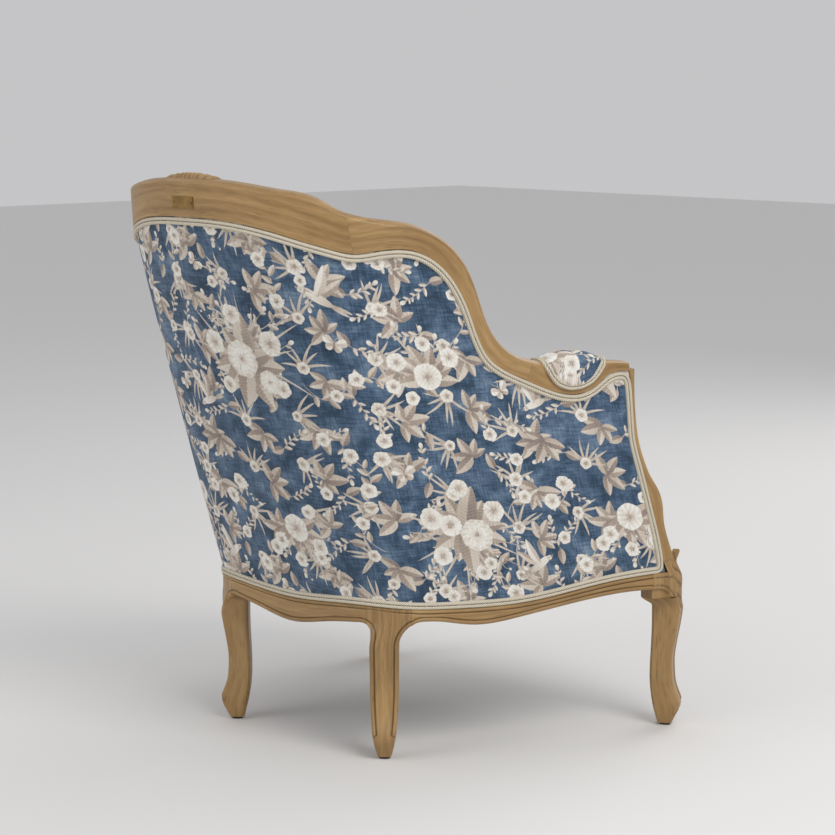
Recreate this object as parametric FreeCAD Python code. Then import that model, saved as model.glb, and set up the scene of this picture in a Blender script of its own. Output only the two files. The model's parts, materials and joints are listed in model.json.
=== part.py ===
import FreeCAD
import Part

import os
from math import cos, pi, radians, sin

V = FreeCAD.Vector
UP = V(0, 0, 1)

# Upholstered tub armchair with a show-wood frame. Millimetres, +Z up, the sitter faces -Y.
# The origin is on the floor, under the middle of the whole chair.

# Seat plan, measured on the outside of the upholstery at the seat rails
seat_half_front = 394.0    # half width at the front corners
seat_half_rear = 237.0     # half width at the rear corners
seat_front_y = -248.0      # front corners, from the middle between the two rows of feet
seat_rear_y = 290.0        # middle of the back
front_bow = 22.0           # how far the front rail swells forward of its corners
front_drop = 16.0          # drop in the middle of the front apron

# Back and arms, measured on the outside of the upholstery
shell_base_z = 250.0       # height of the seat plan
shell_crown_z = 900.0      # height of the crown plan
back_rake = 225.0          # how far the back leans out between the two heights
arm_rake = 158.0           # the same at the fronts of the arms
shoulder_half = 291.0      # half width at the shoulders, on the crown plan
arm_half_front = 376.0     # half width at the arm fronts, on the crown plan

# Heights of the show-wood edges
crest_top_z = 971.0        # top of the crest rail, without its carving
crest_low_z = 908.0        # lower edge of the crest rail in the middle
shoulder_top_z = 906.0
shoulder_low_z = 862.0
arm_top_z = 659.0
arm_low_z = 605.0          # lowest point of the arm rail, below the arm pad
arm_front_low_z = 637.0
seat_top_z = 252.0         # upper edge of the show-wood at the middle of the back
seat_top_front_z = 279.0   # the same at the front corners
apron_low_z = 210.0        # lower edge of the rear rail in the middle
apron_side_z = 222.0       # lower edge of the side rails in the middle
apron_front_z = 250.0      # the same beside the front legs
carving_rise = 9.0         # crest carving above the crest rail
carving_half = 62.0        # half width of the crest carving

# Thicknesses of the layers, counted inwards from the outer cover
cover_t = 1.6
wadding_t = 5.0
frame_t = 28.0             # hidden frame members and the tacking tongues of the show-wood
hessian_t = 1.4
webbing_t = 1.8
back_pad_t = 34.0
back_pad_crown = 20.0
arm_pad_t = 20.0
arm_pad_crown = 7.0
layer_gap = 0.3            # clearance between soft layers and what they lie on
fit_gap = 0.3              # clearance between pieces that stand on each other

# Show-wood sections
wood_proud = 3.0           # crest, arms and posts outside the cover
apron_proud = 7.0          # seat rails outside the cover
show_t = 47.0              # show-wood thickness of the crest and arms
tongue_h = 24.0            # tacking tongue above or below the show-wood
rail_inner_d = 36.5        # inner face of the seat rails, inside the cover

# Legs
leg_block_top_z = 300.0
foot_w = 22.0
knee_w = 50.0
glide_r = 9.5
glide_t = 4.0
front_leg_turn = 12.0      # degrees that the front legs face more sideways than 45

# Joinery
dowel_r = 4.0
dowel_len = 44.0
dowel_gap = 0.1            # hole radius over dowel radius
block_h = 38.0             # corner block height
screw_r = 2.5
screw_len = 46.0

# Crest plate
plate_w = 49.0
plate_h = 19.0
plate_t = 1.2
plate_z = 932.0
plate_pin_r = 1.1

# Welt: two cords sewn side by side
cord_d = 6.0

# Seat suspension and cushion
deck_pad_t = 14.0
spring_wire = 3.8
spring_half_w = 22.0       # half width of one spring's loops
spring_pitch = 18.0        # from one cross bar to the next
spring_count = 5
spring_spacing = 92.0
cushion_h = 118.0          # between the two pipings' outer edges
cushion_crown = 22.0
cushion_gap = 7.0          # between the cushion and the inside upholstery
cushion_skin = 1.6
piping_d = 7.0

# The names of the two sides are the sitter's, who looks towards -Y and has the left arm at +X
SIDES = {"right": 1, "left": -1}


def smooth_curve(rows):
    """Curve through rows of (u, x, y) on one side, mirrored to the other side at u = 0."""
    mirrored = [(-u, -x, y) for u, x, y in reversed(rows) if u > 0]
    points = mirrored + list(rows)
    curve = Part.BSplineCurve()
    curve.interpolate(Points=[V(x, y, 0) for _, x, y in points],
                      Parameters=[u for u, _, _ in points])
    return curve


# The two plans run from the middle of the back (u = 0) round the right side to its arm front
# (u = 1). The rear quarter is a rounded corner, the rest a nearly straight side.
rear = seat_half_rear
span_x = seat_half_front - rear
span_y = seat_rear_y - seat_front_y
base_plan = smooth_curve([
    (0.00, 0.0, seat_rear_y),
    (0.12, -0.40 * rear, seat_rear_y - 0.004 * span_y),
    (0.24, -0.76 * rear, seat_rear_y - 0.026 * span_y),
    (0.34, -1.00 * rear, seat_rear_y - 0.093 * span_y),
    (0.44, -rear - 0.159 * span_x, seat_rear_y - 0.214 * span_y),
    (0.58, -rear - 0.401 * span_x, seat_rear_y - 0.428 * span_y),
    (0.72, -rear - 0.631 * span_x, seat_rear_y - 0.651 * span_y),
    (0.86, -rear - 0.847 * span_x, seat_rear_y - 0.864 * span_y),
    (1.00, -seat_half_front, seat_front_y)])
crown_rear_y = seat_rear_y + back_rake
crown_front_y = seat_front_y + arm_rake
crown_y = crown_rear_y - crown_front_y
crown_x = arm_half_front - shoulder_half
crown_plan = smooth_curve([
    (0.00, 0.0, crown_rear_y),
    (0.12, -0.326 * shoulder_half, crown_rear_y - 0.013 * crown_y),
    (0.24, -0.619 * shoulder_half, crown_rear_y - 0.056 * crown_y),
    (0.34, -0.845 * shoulder_half, crown_rear_y - 0.131 * crown_y),
    (0.44, -1.000 * shoulder_half, crown_rear_y - 0.236 * crown_y),
    (0.58, -shoulder_half - 0.412 * crown_x, crown_rear_y - 0.418 * crown_y),
    (0.72, -shoulder_half - 0.647 * crown_x, crown_rear_y - 0.628 * crown_y),
    (0.86, -shoulder_half - 0.835 * crown_x, crown_rear_y - 0.835 * crown_y),
    (1.00, -arm_half_front, crown_front_y)])


def smooth_height(rows):
    """Height as a function of u, from rows of (u, z) on one side."""
    mirrored = [(-u, z) for u, z in reversed(rows) if u > 0]
    points = mirrored + list(rows)
    curve = Part.BSplineCurve()
    curve.interpolate(Points=[V(u, z, 0) for u, z in points],
                      Parameters=[u for u, _ in points])
    return lambda u: curve.value(u).y


front_rise = seat_top_front_z - seat_top_z
seat_line = smooth_height([
    (0.00, seat_top_z), (0.20, seat_top_z + 9), (0.36, seat_top_z + 5),
    (0.50, seat_top_z - 1), (0.60, seat_top_z), (0.70, seat_top_z + 0.37 * front_rise),
    (0.80, seat_top_z + 0.78 * front_rise), (0.90, seat_top_z + 0.96 * front_rise),
    (1.00, seat_top_front_z)])
apron_line = smooth_height([
    (0.00, apron_low_z), (0.11, apron_low_z + 12), (0.20, apron_low_z + 20),
    (0.34, apron_side_z + 14), (0.41, apron_side_z + 12), (0.50, apron_side_z),
    (0.59, apron_side_z + 6), (0.68, apron_front_z - 11), (0.78, apron_front_z - 1),
    (0.90, apron_front_z)])


def level_normal(curve_weight, u):
    """Horizontal unit vector that points out of the shell, at a share of the way up."""
    low = base_plan.getD1(u)[1]
    high = crown_plan.getD1(u)[1]
    run = low * (1 - curve_weight) + high * curve_weight
    out = V(-run.y, run.x, 0)
    middle = base_plan.value(u) - V(0, (seat_rear_y + seat_front_y) / 2, 0)
    if out.dot(middle) < 0:
        out = out * -1
    return out.normalize()


def shell(u, z):
    """Point on the outside of the cover."""
    share = (z - shell_base_z) / (shell_crown_z - shell_base_z)
    point = base_plan.value(u) * (1 - share) + crown_plan.value(u) * share
    return V(point.x, point.y, z)


def rail_point(u, z, depth):
    """Point of a seat rail, which stands upright on the seat plan."""
    return V(base_plan.value(u).x, base_plan.value(u).y, z) + level_normal(0, u) * depth


def loft(sections, ruled=False):
    wires = [Part.makePolygon(points + [points[0]]) for points in sections]
    return Part.makeLoft(wires, True, ruled)


# Stations round the chair, from the middle of the back to the right arm front. Each holds the
# plan place of the lower edge of the cover, the place and height of its upper edge, and the place
# and height of the show-wood's upper edge. Between the shoulder and the arm the three places
# spread like a fan, so that every section stands square to the sweep.
low_fall = shoulder_low_z - (arm_low_z + 29)
top_fall = shoulder_top_z - arm_top_z
STATIONS = [
    (0.000, 0.000, crest_low_z, 0.000, crest_top_z),
    (0.080, 0.080, crest_low_z - 1, 0.080, crest_top_z - 1),
    (0.160, 0.160, crest_low_z - 7, 0.160, crest_top_z - 6),
    (0.230, 0.230, crest_low_z - 18, 0.235, crest_top_z - 13),
    (0.285, 0.285, crest_low_z - 31, 0.295, crest_top_z - 19),
    (0.335, 0.335, shoulder_low_z + 3, 0.345, crest_top_z - 31),
    (0.385, 0.385, shoulder_low_z - 6, 0.390, shoulder_top_z + 17),
    (0.435, 0.435, shoulder_low_z - 2, 0.445, shoulder_top_z + 6),
    (0.485, 0.487, shoulder_low_z, 0.500, shoulder_top_z),
    (0.525, 0.530, shoulder_low_z - 9, 0.552, shoulder_top_z - 12),
    (0.562, 0.568, shoulder_low_z - 0.16 * low_fall, 0.603, shoulder_top_z - 0.17 * top_fall),
    (0.588, 0.593, shoulder_low_z - 0.36 * low_fall, 0.631, shoulder_top_z - 0.37 * top_fall),
    (0.610, 0.603, shoulder_low_z - 0.57 * low_fall, 0.641, shoulder_top_z - 0.61 * top_fall),
    (0.634, 0.617, shoulder_low_z - 0.77 * low_fall, 0.656, shoulder_top_z - 0.785 * top_fall),
    (0.664, 0.650, shoulder_low_z - 0.90 * low_fall, 0.687, shoulder_top_z - 0.91 * top_fall),
    (0.702, 0.700, arm_low_z + 29, 0.725, arm_top_z + 9),
    (0.750, 0.750, arm_low_z + 9, 0.760, arm_top_z + 3),
    (0.800, 0.800, arm_low_z, 0.802, arm_top_z + 1),
    (0.848, 0.848, arm_low_z + 9, 0.850, arm_top_z),
    (0.893, 0.893, arm_front_low_z - 4, 0.895, arm_top_z - 2),
    (0.930, 0.930, arm_front_low_z + 1, 0.932, arm_top_z - 4),
    (0.966, 0.962, arm_front_low_z, 0.966, arm_top_z - 6)]
LAST = len(STATIONS) - 1
CREST_END = 6              # joint between the crest rail and the shoulders
SHOULDER_END = 15          # joint between a shoulder and its arm rail
BACK_END = 7               # seam between the inside back and the inside arms
LEG_U = (0.230, 0.340)     # ends of the rear leg blocks on the seat plan
FRONT_LEG_U = 0.900        # rear end of the front leg blocks
front_rail_y = seat_front_y - 31
leg_block_x = seat_half_front - 59


def mirror_point(point, sign):
    return V(point.x * sign, point.y, point.z)


class Station:
    """One section plane: a chord from the seat line to the cover's upper edge, and a normal."""

    def __init__(self, index, row=None):
        self.sign = -1 if index < 0 else 1
        u_base, u_low, z_low, u_top, z_top = row or STATIONS[abs(index)]
        self.u = u_base
        self.out = level_normal(0.5, (u_base + u_low) / 2)
        self.foot = shell(u_base, seat_line(u_base))
        self.head = shell(u_low, z_low)
        top = shell(u_top, z_top)
        lean = (top - self.head).dot(self.out)
        self.top = top - self.out * (0.75 * lean)
        self.up = (self.head - self.foot).normalize()
        self.wood_up = (self.top - self.head).normalize()
        self.tongue_up = (top - self.head).normalize()
        self.wood_h = (self.top - self.head).Length

    def from_foot(self, rise, depth):
        return mirror_point(self.foot + self.up * rise + self.out * depth, self.sign)

    def from_head(self, drop, depth):
        return mirror_point(self.head - self.up * drop + self.out * depth, self.sign)

    def at_height(self, z, depth):
        return self.from_foot((z - self.foot.z) / self.up.z, depth)

    def wood(self, rise, depth):
        """Point of the show-wood; below its lower edge the tongue follows the cover's slope."""
        along = self.wood_up if rise >= 0 else self.tongue_up
        return mirror_point(self.head + along * rise + self.out * depth, self.sign)


STATION = {index: Station(index) for index in range(-LAST, LAST + 1)}


def station_between(index, share):
    """Station part of the way from one index to the next."""
    start, end = STATIONS[abs(index)], STATIONS[abs(index + 1)]
    row = [a + (b - a) * share for a, b in zip(start, end)]
    station = Station(0, row)
    station.sign = -1 if index < 0 else 1
    return station


def strip(first, last, section, ruled=False):
    """Solid that runs round the shell through the stations from first to last."""
    return loft([section(STATION[index]) for index in range(first, last + 1)], ruled)


def sided(first, last, sign):
    """The same run of stations on the right (sign 1) or mirrored on the left (sign -1)."""
    return (first, last) if sign > 0 else (-last, -first)


frame_d = cover_t + wadding_t + 5 * layer_gap
frame_inner_d = frame_d + frame_t
pieces = {}


# Crest rail, shoulders and arm rails: one moulded section with a tacking tongue below it
def show_section(station):
    h = station.wood_h
    inner = wood_proud - show_t
    return [station.wood(0, wood_proud), station.wood(0.70 * h, wood_proud),
            station.wood(0.93 * h, wood_proud - 4), station.wood(h, wood_proud - 11),
            station.wood(h, inner + 11), station.wood(0.93 * h, inner + 4),
            station.wood(0.70 * h, inner), station.wood(0, inner),
            station.wood(0, -frame_inner_d), station.wood(-tongue_h, -frame_inner_d),
            station.wood(-tongue_h, -frame_d), station.wood(0, -frame_d)]


pieces["crest_rail"] = strip(-CREST_END, CREST_END, show_section)
for side, sign in SIDES.items():
    pieces["shoulder_" + side] = strip(*sided(CREST_END, SHOULDER_END, sign), show_section)
    pieces["arm_rail_" + side] = strip(*sided(SHOULDER_END, LAST, sign), show_section)


# Seat rails: a show-wood apron outside, and a tacking tongue behind the cover
def rail_section(u, inner_d, low_z):
    edge_z = seat_line(u)
    return [rail_point(u, low_z, apron_proud - 3), rail_point(u, low_z + 4, apron_proud),
            rail_point(u, edge_z - 4, apron_proud), rail_point(u, edge_z, apron_proud - 3),
            rail_point(u, edge_z, -frame_d), rail_point(u, leg_block_top_z, -frame_d),
            rail_point(u, leg_block_top_z, -inner_d), rail_point(u, low_z, -inner_d)]


def rail_run(start, end, steps, inner_d, low_line):
    places = [start + (end - start) * step / steps for step in range(steps + 1)]
    return loft([rail_section(u, inner_d, low_line(u)) for u in places])


block_inner_d = rail_inner_d + 2
block_low_z = apron_side_z + 10
pieces["rear_seat_rail"] = rail_run(-LEG_U[0], LEG_U[0], 10, rail_inner_d, apron_line)
for side, sign in SIDES.items():
    pieces["side_seat_rail_" + side] = rail_run(
        sign * LEG_U[1], sign * FRONT_LEG_U, 10, rail_inner_d, apron_line)


# Front seat rail: bowed forward, with a drop in the middle of its apron
def front_face_y(x):
    return front_rail_y - front_bow * cos(pi * x / (2 * leg_block_x)) ** 2


def front_apron_z(x):
    return apron_front_z - front_drop * cos(pi * x / (2 * leg_block_x)) ** 4


def front_section(x):
    y = front_face_y(x)
    low = front_apron_z(x)
    edge = seat_top_front_z + 4
    return [V(x, y + 3, low), V(x, y, low + 4), V(x, y, edge - 4), V(x, y + 3, edge),
            V(x, y + apron_proud + frame_d, edge),
            V(x, y + apron_proud + frame_d, leg_block_top_z),
            V(x, y + apron_proud + rail_inner_d, leg_block_top_z),
            V(x, y + apron_proud + rail_inner_d, low)]


front_steps = 12
front_places = [leg_block_x * (2 * step / front_steps - 1) for step in range(front_steps + 1)]
pieces["front_seat_rail"] = loft([front_section(x) for x in front_places])


# Legs: the block at the top carries the rails, the cabriole shaft below it faces outwards.
# Rows give height, outer and inner face from the foot's centre, half width and outer chamfer.
LEG_ROWS = [
    (block_low_z + 2, 20.0, -26.0, 1.50 * knee_w / 2, 13.0),
    (block_low_z - 10, 21.0, -26.0, 1.16 * knee_w / 2, 9.0),
    (208.0, 22.0, -26.0, 1.01 * knee_w / 2, 6.0),
    (183.0, 19.0, -26.0, 0.98 * knee_w / 2, 5.0),
    (150.0, 13.0, -27.0, 0.96 * knee_w / 2, 5.0),
    (115.0, 8.5, -28.5, 0.95 * knee_w / 2, 5.0),
    (95.0, 9.0, -29.0, 0.94 * knee_w / 2, 5.0),
    (74.0, 11.5, -28.5, 0.90 * knee_w / 2, 5.0),
    (58.0, 17.0, -27.0, 0.85 * knee_w / 2, 5.0),
    (44.0, 22.0, -25.0, 0.80 * knee_w / 2, 5.0),
    (30.0, 21.0, -22.5, 0.70 * knee_w / 2, 5.0),
    (14.0, 13.5, -18.5, 1.30 * foot_w / 2, 5.0),
    (glide_t, 8.5, -16.5, foot_w / 2, 4.0)]


def leg_shaft(center, facing):
    across = V(-facing.y, facing.x, 0)
    sections = []
    for z, outer, inner, half, chamfer in LEG_ROWS:
        corners = [(outer, half - chamfer), (outer - chamfer, half), (inner + 4, half),
                   (inner, half - 4), (inner, 4 - half), (inner + 4, -half),
                   (outer - chamfer, -half), (outer, chamfer - half)]
        sections.append([center + facing * a + across * b + UP * z for a, b in corners])
    return loft(sections)


rear_foot = V(-(seat_half_rear - 43), seat_rear_y - 30, 0)
front_foot = V(-(seat_half_front - 28), front_rail_y + 19, 0)
rear_facing = V(-sin(radians(45)), cos(radians(45)), 0)
front_facing = V(-cos(radians(45 - front_leg_turn)), -sin(radians(45 - front_leg_turn)), 0)

rear_block = rail_run(LEG_U[0], LEG_U[1], 5, block_inner_d, lambda u: block_low_z)
rear_leg = rear_block.fuse(leg_shaft(rear_foot, rear_facing)).removeSplitter().Solids[0]

# The front block is a corner post: the side rail meets its rear face, the front rail its inner side
corner_out = [rail_point(FRONT_LEG_U, 0, apron_proud), rail_point(0.955, 0, apron_proud),
              V(-seat_half_front, front_rail_y + 26, 0), V(12 - seat_half_front, front_rail_y + 9, 0),
              V(30 - seat_half_front, front_rail_y + 1.5, 0), V(-leg_block_x, front_rail_y, 0)]
corner_in = [V(-leg_block_x, front_rail_y + apron_proud + rail_inner_d, 0),
             rail_point(FRONT_LEG_U, 0, -rail_inner_d)]


def prism(outline, low, high):
    base = [V(p.x, p.y, low) for p in outline]
    return Part.Face(Part.makePolygon(base + [base[0]])).extrude(V(0, 0, high - low))


cover_rebate = prism(
    [rail_point(FRONT_LEG_U - 0.02, 0, 2 * apron_proud), rail_point(0.957, 0, 2 * apron_proud),
     rail_point(0.957, 0, -frame_d), rail_point(FRONT_LEG_U - 0.02, 0, -frame_d)],
    seat_line(FRONT_LEG_U), leg_block_top_z + 1)
front_leg = prism(corner_out + corner_in, block_low_z, leg_block_top_z).cut(cover_rebate)
front_leg = front_leg.fuse(leg_shaft(front_foot, front_facing)).removeSplitter().Solids[0]


def cut_between(shape, members):
    """The main body of a shape, without what reaches into the members beside it."""
    for member in members:
        shape = shape.cut(member)
    return max(shape.Solids, key=lambda solid: solid.Volume)


rear_leg = cut_between(rear_leg, [pieces["rear_seat_rail"], pieces["side_seat_rail_right"]])

X_MIRROR = V(1, 0, 0)
for name, leg in (("rear_leg_", rear_leg), ("front_leg_", front_leg)):
    pieces[name + "right"] = leg
    pieces[name + "left"] = leg.mirror(V(0, 0, 0), X_MIRROR)


# Arm posts: they rise from the front legs to the arm rails, with a tongue behind the cover.
# Rows give height, place of the front edge, and place of the cover's front edge.
POST_ROWS = [
    (leg_block_top_z + fit_gap, 1.016, 0.957), (318.0, 1.008, 0.958), (345.0, 0.997, 0.958),
    (372.0, 0.995, 0.955), (398.0, 1.003, 0.952), (425.0, 0.996, 0.949), (448.0, 0.974, 0.946),
    (481.0, 0.957, 0.941), (517.0, 0.951, 0.938), (552.0, 0.955, 0.945), (587.0, 0.964, 0.954),
    (arm_front_low_z - fit_gap - 1, 0.983, 0.962)]
post_tongue_u = 0.034


def post_place(u, z, depth):
    return shell(u, z) + level_normal(0.3, 0.96) * depth


def post_section(z, u_front, u_cover):
    inner = wood_proud - show_t
    chamfer_u = 0.008
    return [post_place(u_cover, z, wood_proud), post_place(u_front - chamfer_u, z, wood_proud),
            post_place(u_front, z, wood_proud - 5), post_place(u_front, z, inner + 5),
            post_place(u_front - chamfer_u, z, inner), post_place(u_cover - post_tongue_u, z, inner),
            post_place(u_cover - post_tongue_u, z, -frame_d), post_place(u_cover, z, -frame_d)]


arm_post = loft([post_section(*row) for row in POST_ROWS])
pieces["arm_post_right"] = arm_post
pieces["arm_post_left"] = arm_post.mirror(V(0, 0, 0), X_MIRROR)


# Hidden frame: stiles, side uprights and the liner rails that the covers are tacked to
def frame_member(first, last, low, high):
    """Member between two stations. low and high are functions that give its two ends."""
    def section(station):
        return [low(station, -frame_d), high(station, -frame_d),
                high(station, -frame_inner_d), low(station, -frame_inner_d)]
    stations = [STATION[first]]
    for index in range(first, last):
        stations += [station_between(index, 0.5), STATION[index + 1]]
    return loft([section(station) for station in stations])


def stand(station, depth):
    return station.at_height(leg_block_top_z + fit_gap, depth)


def hang(station, depth):
    return station.wood(-tongue_h - 4 * fit_gap, depth)


liner_low_z = 334.0
liner_h = 45.0


def liner_low(station, depth):
    return station.at_height(liner_low_z, depth)


def liner_high(station, depth):
    return station.at_height(liner_low_z + liner_h, depth)


STILE = (3, 5)
UPRIGHT = (10, 12)
POST_STATION = 19
for side, sign in SIDES.items():
    pieces["rear_stile_" + side] = frame_member(*sided(*STILE, sign), stand, hang)
    pieces["side_upright_" + side] = frame_member(*sided(*UPRIGHT, sign), stand, hang)
    stile, upright = pieces["rear_stile_" + side], pieces["side_upright_" + side]
    pieces["rear_arm_liner_" + side] = cut_between(frame_member(
        *sided(STILE[1], UPRIGHT[0], sign), liner_low, liner_high), [stile, upright])
    pieces["front_arm_liner_" + side] = cut_between(frame_member(
        *sided(UPRIGHT[1], POST_STATION, sign), liner_low, liner_high), [upright])
pieces["back_liner_rail"] = cut_between(
    frame_member(-STILE[0], STILE[0], liner_low, liner_high),
    [pieces["rear_stile_right"], pieces["rear_stile_left"]])


# The arm rail sits on the post: its underside is cut to the post's top
def post_envelope(low_z, high_z, back_u, depths):
    """Block round the post from behind its tongue to past its front, between two heights."""
    rows = [(low_z,) + POST_ROWS[0][1:]] + POST_ROWS[1:-1] + [(high_z,) + POST_ROWS[-1][1:]]
    near, far = depths
    sections = []
    for z, _, u_cover in rows:
        back = u_cover + back_u
        sections.append([post_place(back, z, near), post_place(1.06, z, near),
                         post_place(1.06, z, far), post_place(back, z, far)])
    return loft(sections)


seat_back_u = POST_ROWS[-1][2] - post_tongue_u - 0.010
post_seat = loft([[post_place(seat_back_u, z, 12), post_place(1.06, z, 12),
                   post_place(1.06, z, -60), post_place(seat_back_u, z, -60)]
                  for z in (arm_front_low_z - 90, arm_front_low_z - 1)])
for side, sign in SIDES.items():
    tool = post_seat if sign > 0 else post_seat.mirror(V(0, 0, 0), X_MIRROR)
    pieces["arm_rail_" + side] = pieces["arm_rail_" + side].cut(tool)


# Outer cover and its wadding: one continuous panel from post to post
edge_gap = -0.0008
cover_end = post_envelope(leg_block_top_z - 60, arm_front_low_z + 40, edge_gap,
                          (20, -frame_d + 0.2))
cover_ends = [cover_end, cover_end.mirror(V(0, 0, 0), X_MIRROR)]


def trimmed(shape, tools):
    for tool in tools:
        shape = shape.cut(tool)
    return shape


def sheet_section(low, high, near, far):
    """Section of a sheet between two depths; low and high are clearances to the chord's ends."""
    def section(station):
        return [station.from_foot(low, near), station.from_head(high, near),
                station.from_head(high, far), station.from_foot(low, far)]
    return section


wadding_d = cover_t + layer_gap
cover_drop = 2.8           # clearance between the cover's upper edge and the show-wood
pieces["outer_cover"] = trimmed(
    strip(-LAST, LAST, sheet_section(0.5, cover_drop, 0, -cover_t)), cover_ends)
pieces["outer_wadding"] = trimmed(
    strip(-LAST, LAST, sheet_section(1.5, cover_drop + 1.2, -wadding_d, -wadding_d - wadding_t)),
    cover_ends)


# Outer welt: a flat double cord along all four edges of the outer cover
def cord_pair(across, out):
    """Section of two cords side by side; across(s) is the place along the width."""
    r = cord_d / 2
    profile = [(0, 0.3), (0, 1.0 * r), (0.4 * r, 1.7 * r), (r, 2 * r), (1.6 * r, 1.7 * r),
               (2 * r, 1.1 * r), (2.4 * r, 1.7 * r), (3 * r, 2 * r), (3.6 * r, 1.7 * r),
               (4 * r, 1.0 * r), (4 * r, 0.3)]
    return [across(s, d * out) for s, d in profile]


def low_cords(station):
    return cord_pair(lambda s, d: station.from_foot(0.5 + s, d), 1)


def high_cords(station):
    return cord_pair(lambda s, d: station.from_head(cover_drop + layer_gap + s, d), 1)


def along_edge(u, z, back, depth):
    ahead = (shell(u + 0.01, z) - shell(u - 0.01, z)).normalize()
    return shell(u, z) - ahead * back + level_normal(0.3, 0.96) * depth


cords_w = 2 * cord_d
edge_clear = 2.7           # clearance between the cords and the arm posts
edge_rows = [(z, u) for z, _, u in POST_ROWS[1:-1]]
low_end = (STATION[LAST].foot.z + cords_w + 1.5, POST_ROWS[0][2])
high_end = (STATION[LAST].head.z - cords_w - cover_drop - 1.5, POST_ROWS[-1][2])
edge_cords = loft([cord_pair(lambda s, d: along_edge(u, z, edge_clear + s, d), 1)
                   for z, u in [low_end] + edge_rows + [high_end]])
welt_runs = [trimmed(strip(-LAST, LAST, low_cords), cover_ends),
             trimmed(strip(-LAST, LAST, high_cords), cover_ends),
             edge_cords, edge_cords.mirror(V(0, 0, 0), X_MIRROR)]
pieces["outer_welt"] = Part.makeCompound(welt_runs)


# Inside upholstery: webbing and hessian on the frame, then crowned pads and their covers
webbing_d = frame_inner_d + layer_gap
hessian_d = webbing_d + webbing_t + layer_gap
pad_d = hessian_d + hessian_t + layer_gap
inner_cord_drop = 2.6
inside_drop = cords_w + inner_cord_drop + 0.8


def ease(u, start, end):
    share = min(max((u - start) / (end - start), 0), 1)
    return share * share * (3 - 2 * share)


def pad_thickness(station):
    return back_pad_t + (arm_pad_t - back_pad_t) * ease(station.u, 0.26, 0.46)


def pad_crown(station):
    return back_pad_crown + (arm_pad_crown - back_pad_crown) * ease(station.u, 0.20, 0.46)


def crowned_wire(station, low_z, near, far, crown, hollow):
    """Wire of a crowned section; a hollow one is a sheet that follows the crown on both faces."""
    a = station.at_height(low_z, -near)
    b = station.at_height(low_z, -far)
    c = station.from_head(inside_drop, -far)
    d = station.from_head(inside_drop, -near)
    inward = mirror_point(station.out, station.sign) * -crown
    face = Part.Arc(b, (b + c) * 0.5 + inward, c).toShape()
    back = Part.makeLine(d, a)
    if hollow:
        back = Part.Arc(d, (a + d) * 0.5 + inward, a).toShape()
    return Part.Wire([Part.makeLine(a, b), face, Part.makeLine(c, d), back])


def crowned(first, last, low_z, extra, hollow):
    """Pad, or cover over it, between two stations."""
    wires = []
    for index in range(first, last + 1):
        station = STATION[index]
        face = pad_d + pad_thickness(station)
        near = face + layer_gap if hollow else pad_d
        far = face + layer_gap + extra if hollow else face
        wires.append(crowned_wire(station, low_z, near, far, pad_crown(station), hollow))
    return Part.makeLoft(wires, True, False)


wire_z = leg_block_top_z + fit_gap + 1.2 + 0.2 + spring_wire / 2
clip_top_z = wire_z + spring_wire / 2 + 0.2 + 1.2
deck_hessian_z = clip_top_z + layer_gap
deck_pad_z = deck_hessian_z + hessian_t + layer_gap
deck_cover_z = deck_pad_z + deck_pad_t + layer_gap
deck_z = deck_cover_z + cover_t

post_inner_gap = 0.001
inside_end = post_envelope(leg_block_top_z - 60, arm_front_low_z + 60,
                           -post_tongue_u - post_inner_gap, (-30, -140))
inside_ends = {1: inside_end, -1: inside_end.mirror(V(0, 0, 0), X_MIRROR)}
inside_low_z = deck_z + fit_gap
POST_END = 20


head_fall = 260.0          # drop of the crest rail's lower edge over the square of u


def back_station(u, low_z):
    """Section plane at any place on the back, left of the middle where u is below 0."""
    station = Station(0, (abs(u), abs(u), low_z, abs(u), crest_top_z))
    station.sign = -1 if u < 0 else 1
    return station


def hessian_section(depth):
    def section(station):
        return [station.at_height(liner_low_z + 4, -depth),
                station.from_head(inside_drop + 1, -depth),
                station.from_head(inside_drop + 1, -depth - hessian_t),
                station.at_height(liner_low_z + 4, -depth - hessian_t)]
    return section


pieces["back_hessian"] = strip(-BACK_END, BACK_END, hessian_section(hessian_d))
pieces["inside_back_pad"] = crowned(-BACK_END, BACK_END, inside_low_z, 0, False)
pieces["inside_back_cover"] = crowned(-BACK_END, BACK_END, inside_low_z, cover_t, True)
for side, sign in SIDES.items():
    run = sided(BACK_END, POST_END, sign)
    tools = [inside_ends[sign]]
    pieces["arm_hessian_" + side] = trimmed(
        strip(*run, hessian_section(webbing_d + layer_gap)), tools)
    pieces["inside_arm_pad_" + side] = trimmed(
        crowned(*run, inside_low_z, 0, False), tools)
    pieces["inside_arm_cover_" + side] = trimmed(
        crowned(*run, inside_low_z, cover_t, True), tools)

# Webbing: upright straps between the back's liner rail and the crest rail
strap_half_u = 0.026
strap_us = (-0.20, -0.10, 0.0, 0.10, 0.20)


def strap_section(u):
    station = back_station(u, crest_low_z - head_fall * u * u)
    return [station.at_height(liner_low_z + 6, -webbing_d),
            station.from_head(inside_drop + 4, -webbing_d),
            station.from_head(inside_drop + 4, -webbing_d - webbing_t),
            station.at_height(liner_low_z + 6, -webbing_d - webbing_t)]


pieces["back_webbing"] = Part.makeCompound([
    loft([strap_section(u + shift) for shift in (-strap_half_u, 0, strap_half_u)])
    for u in strap_us])

# Inside welt: along the upper edge of the inside covers, on the inner side of the tongues
inner_cord_d = frame_inner_d + 0.8


def inner_cords(station):
    return cord_pair(lambda s, d: station.from_head(inner_cord_drop + s, -inner_cord_d + d), -1)


inner_run = trimmed(strip(-POST_END, POST_END, inner_cords), [inside_ends[1], inside_ends[-1]])
pieces["inside_welt"] = inner_run


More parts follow.
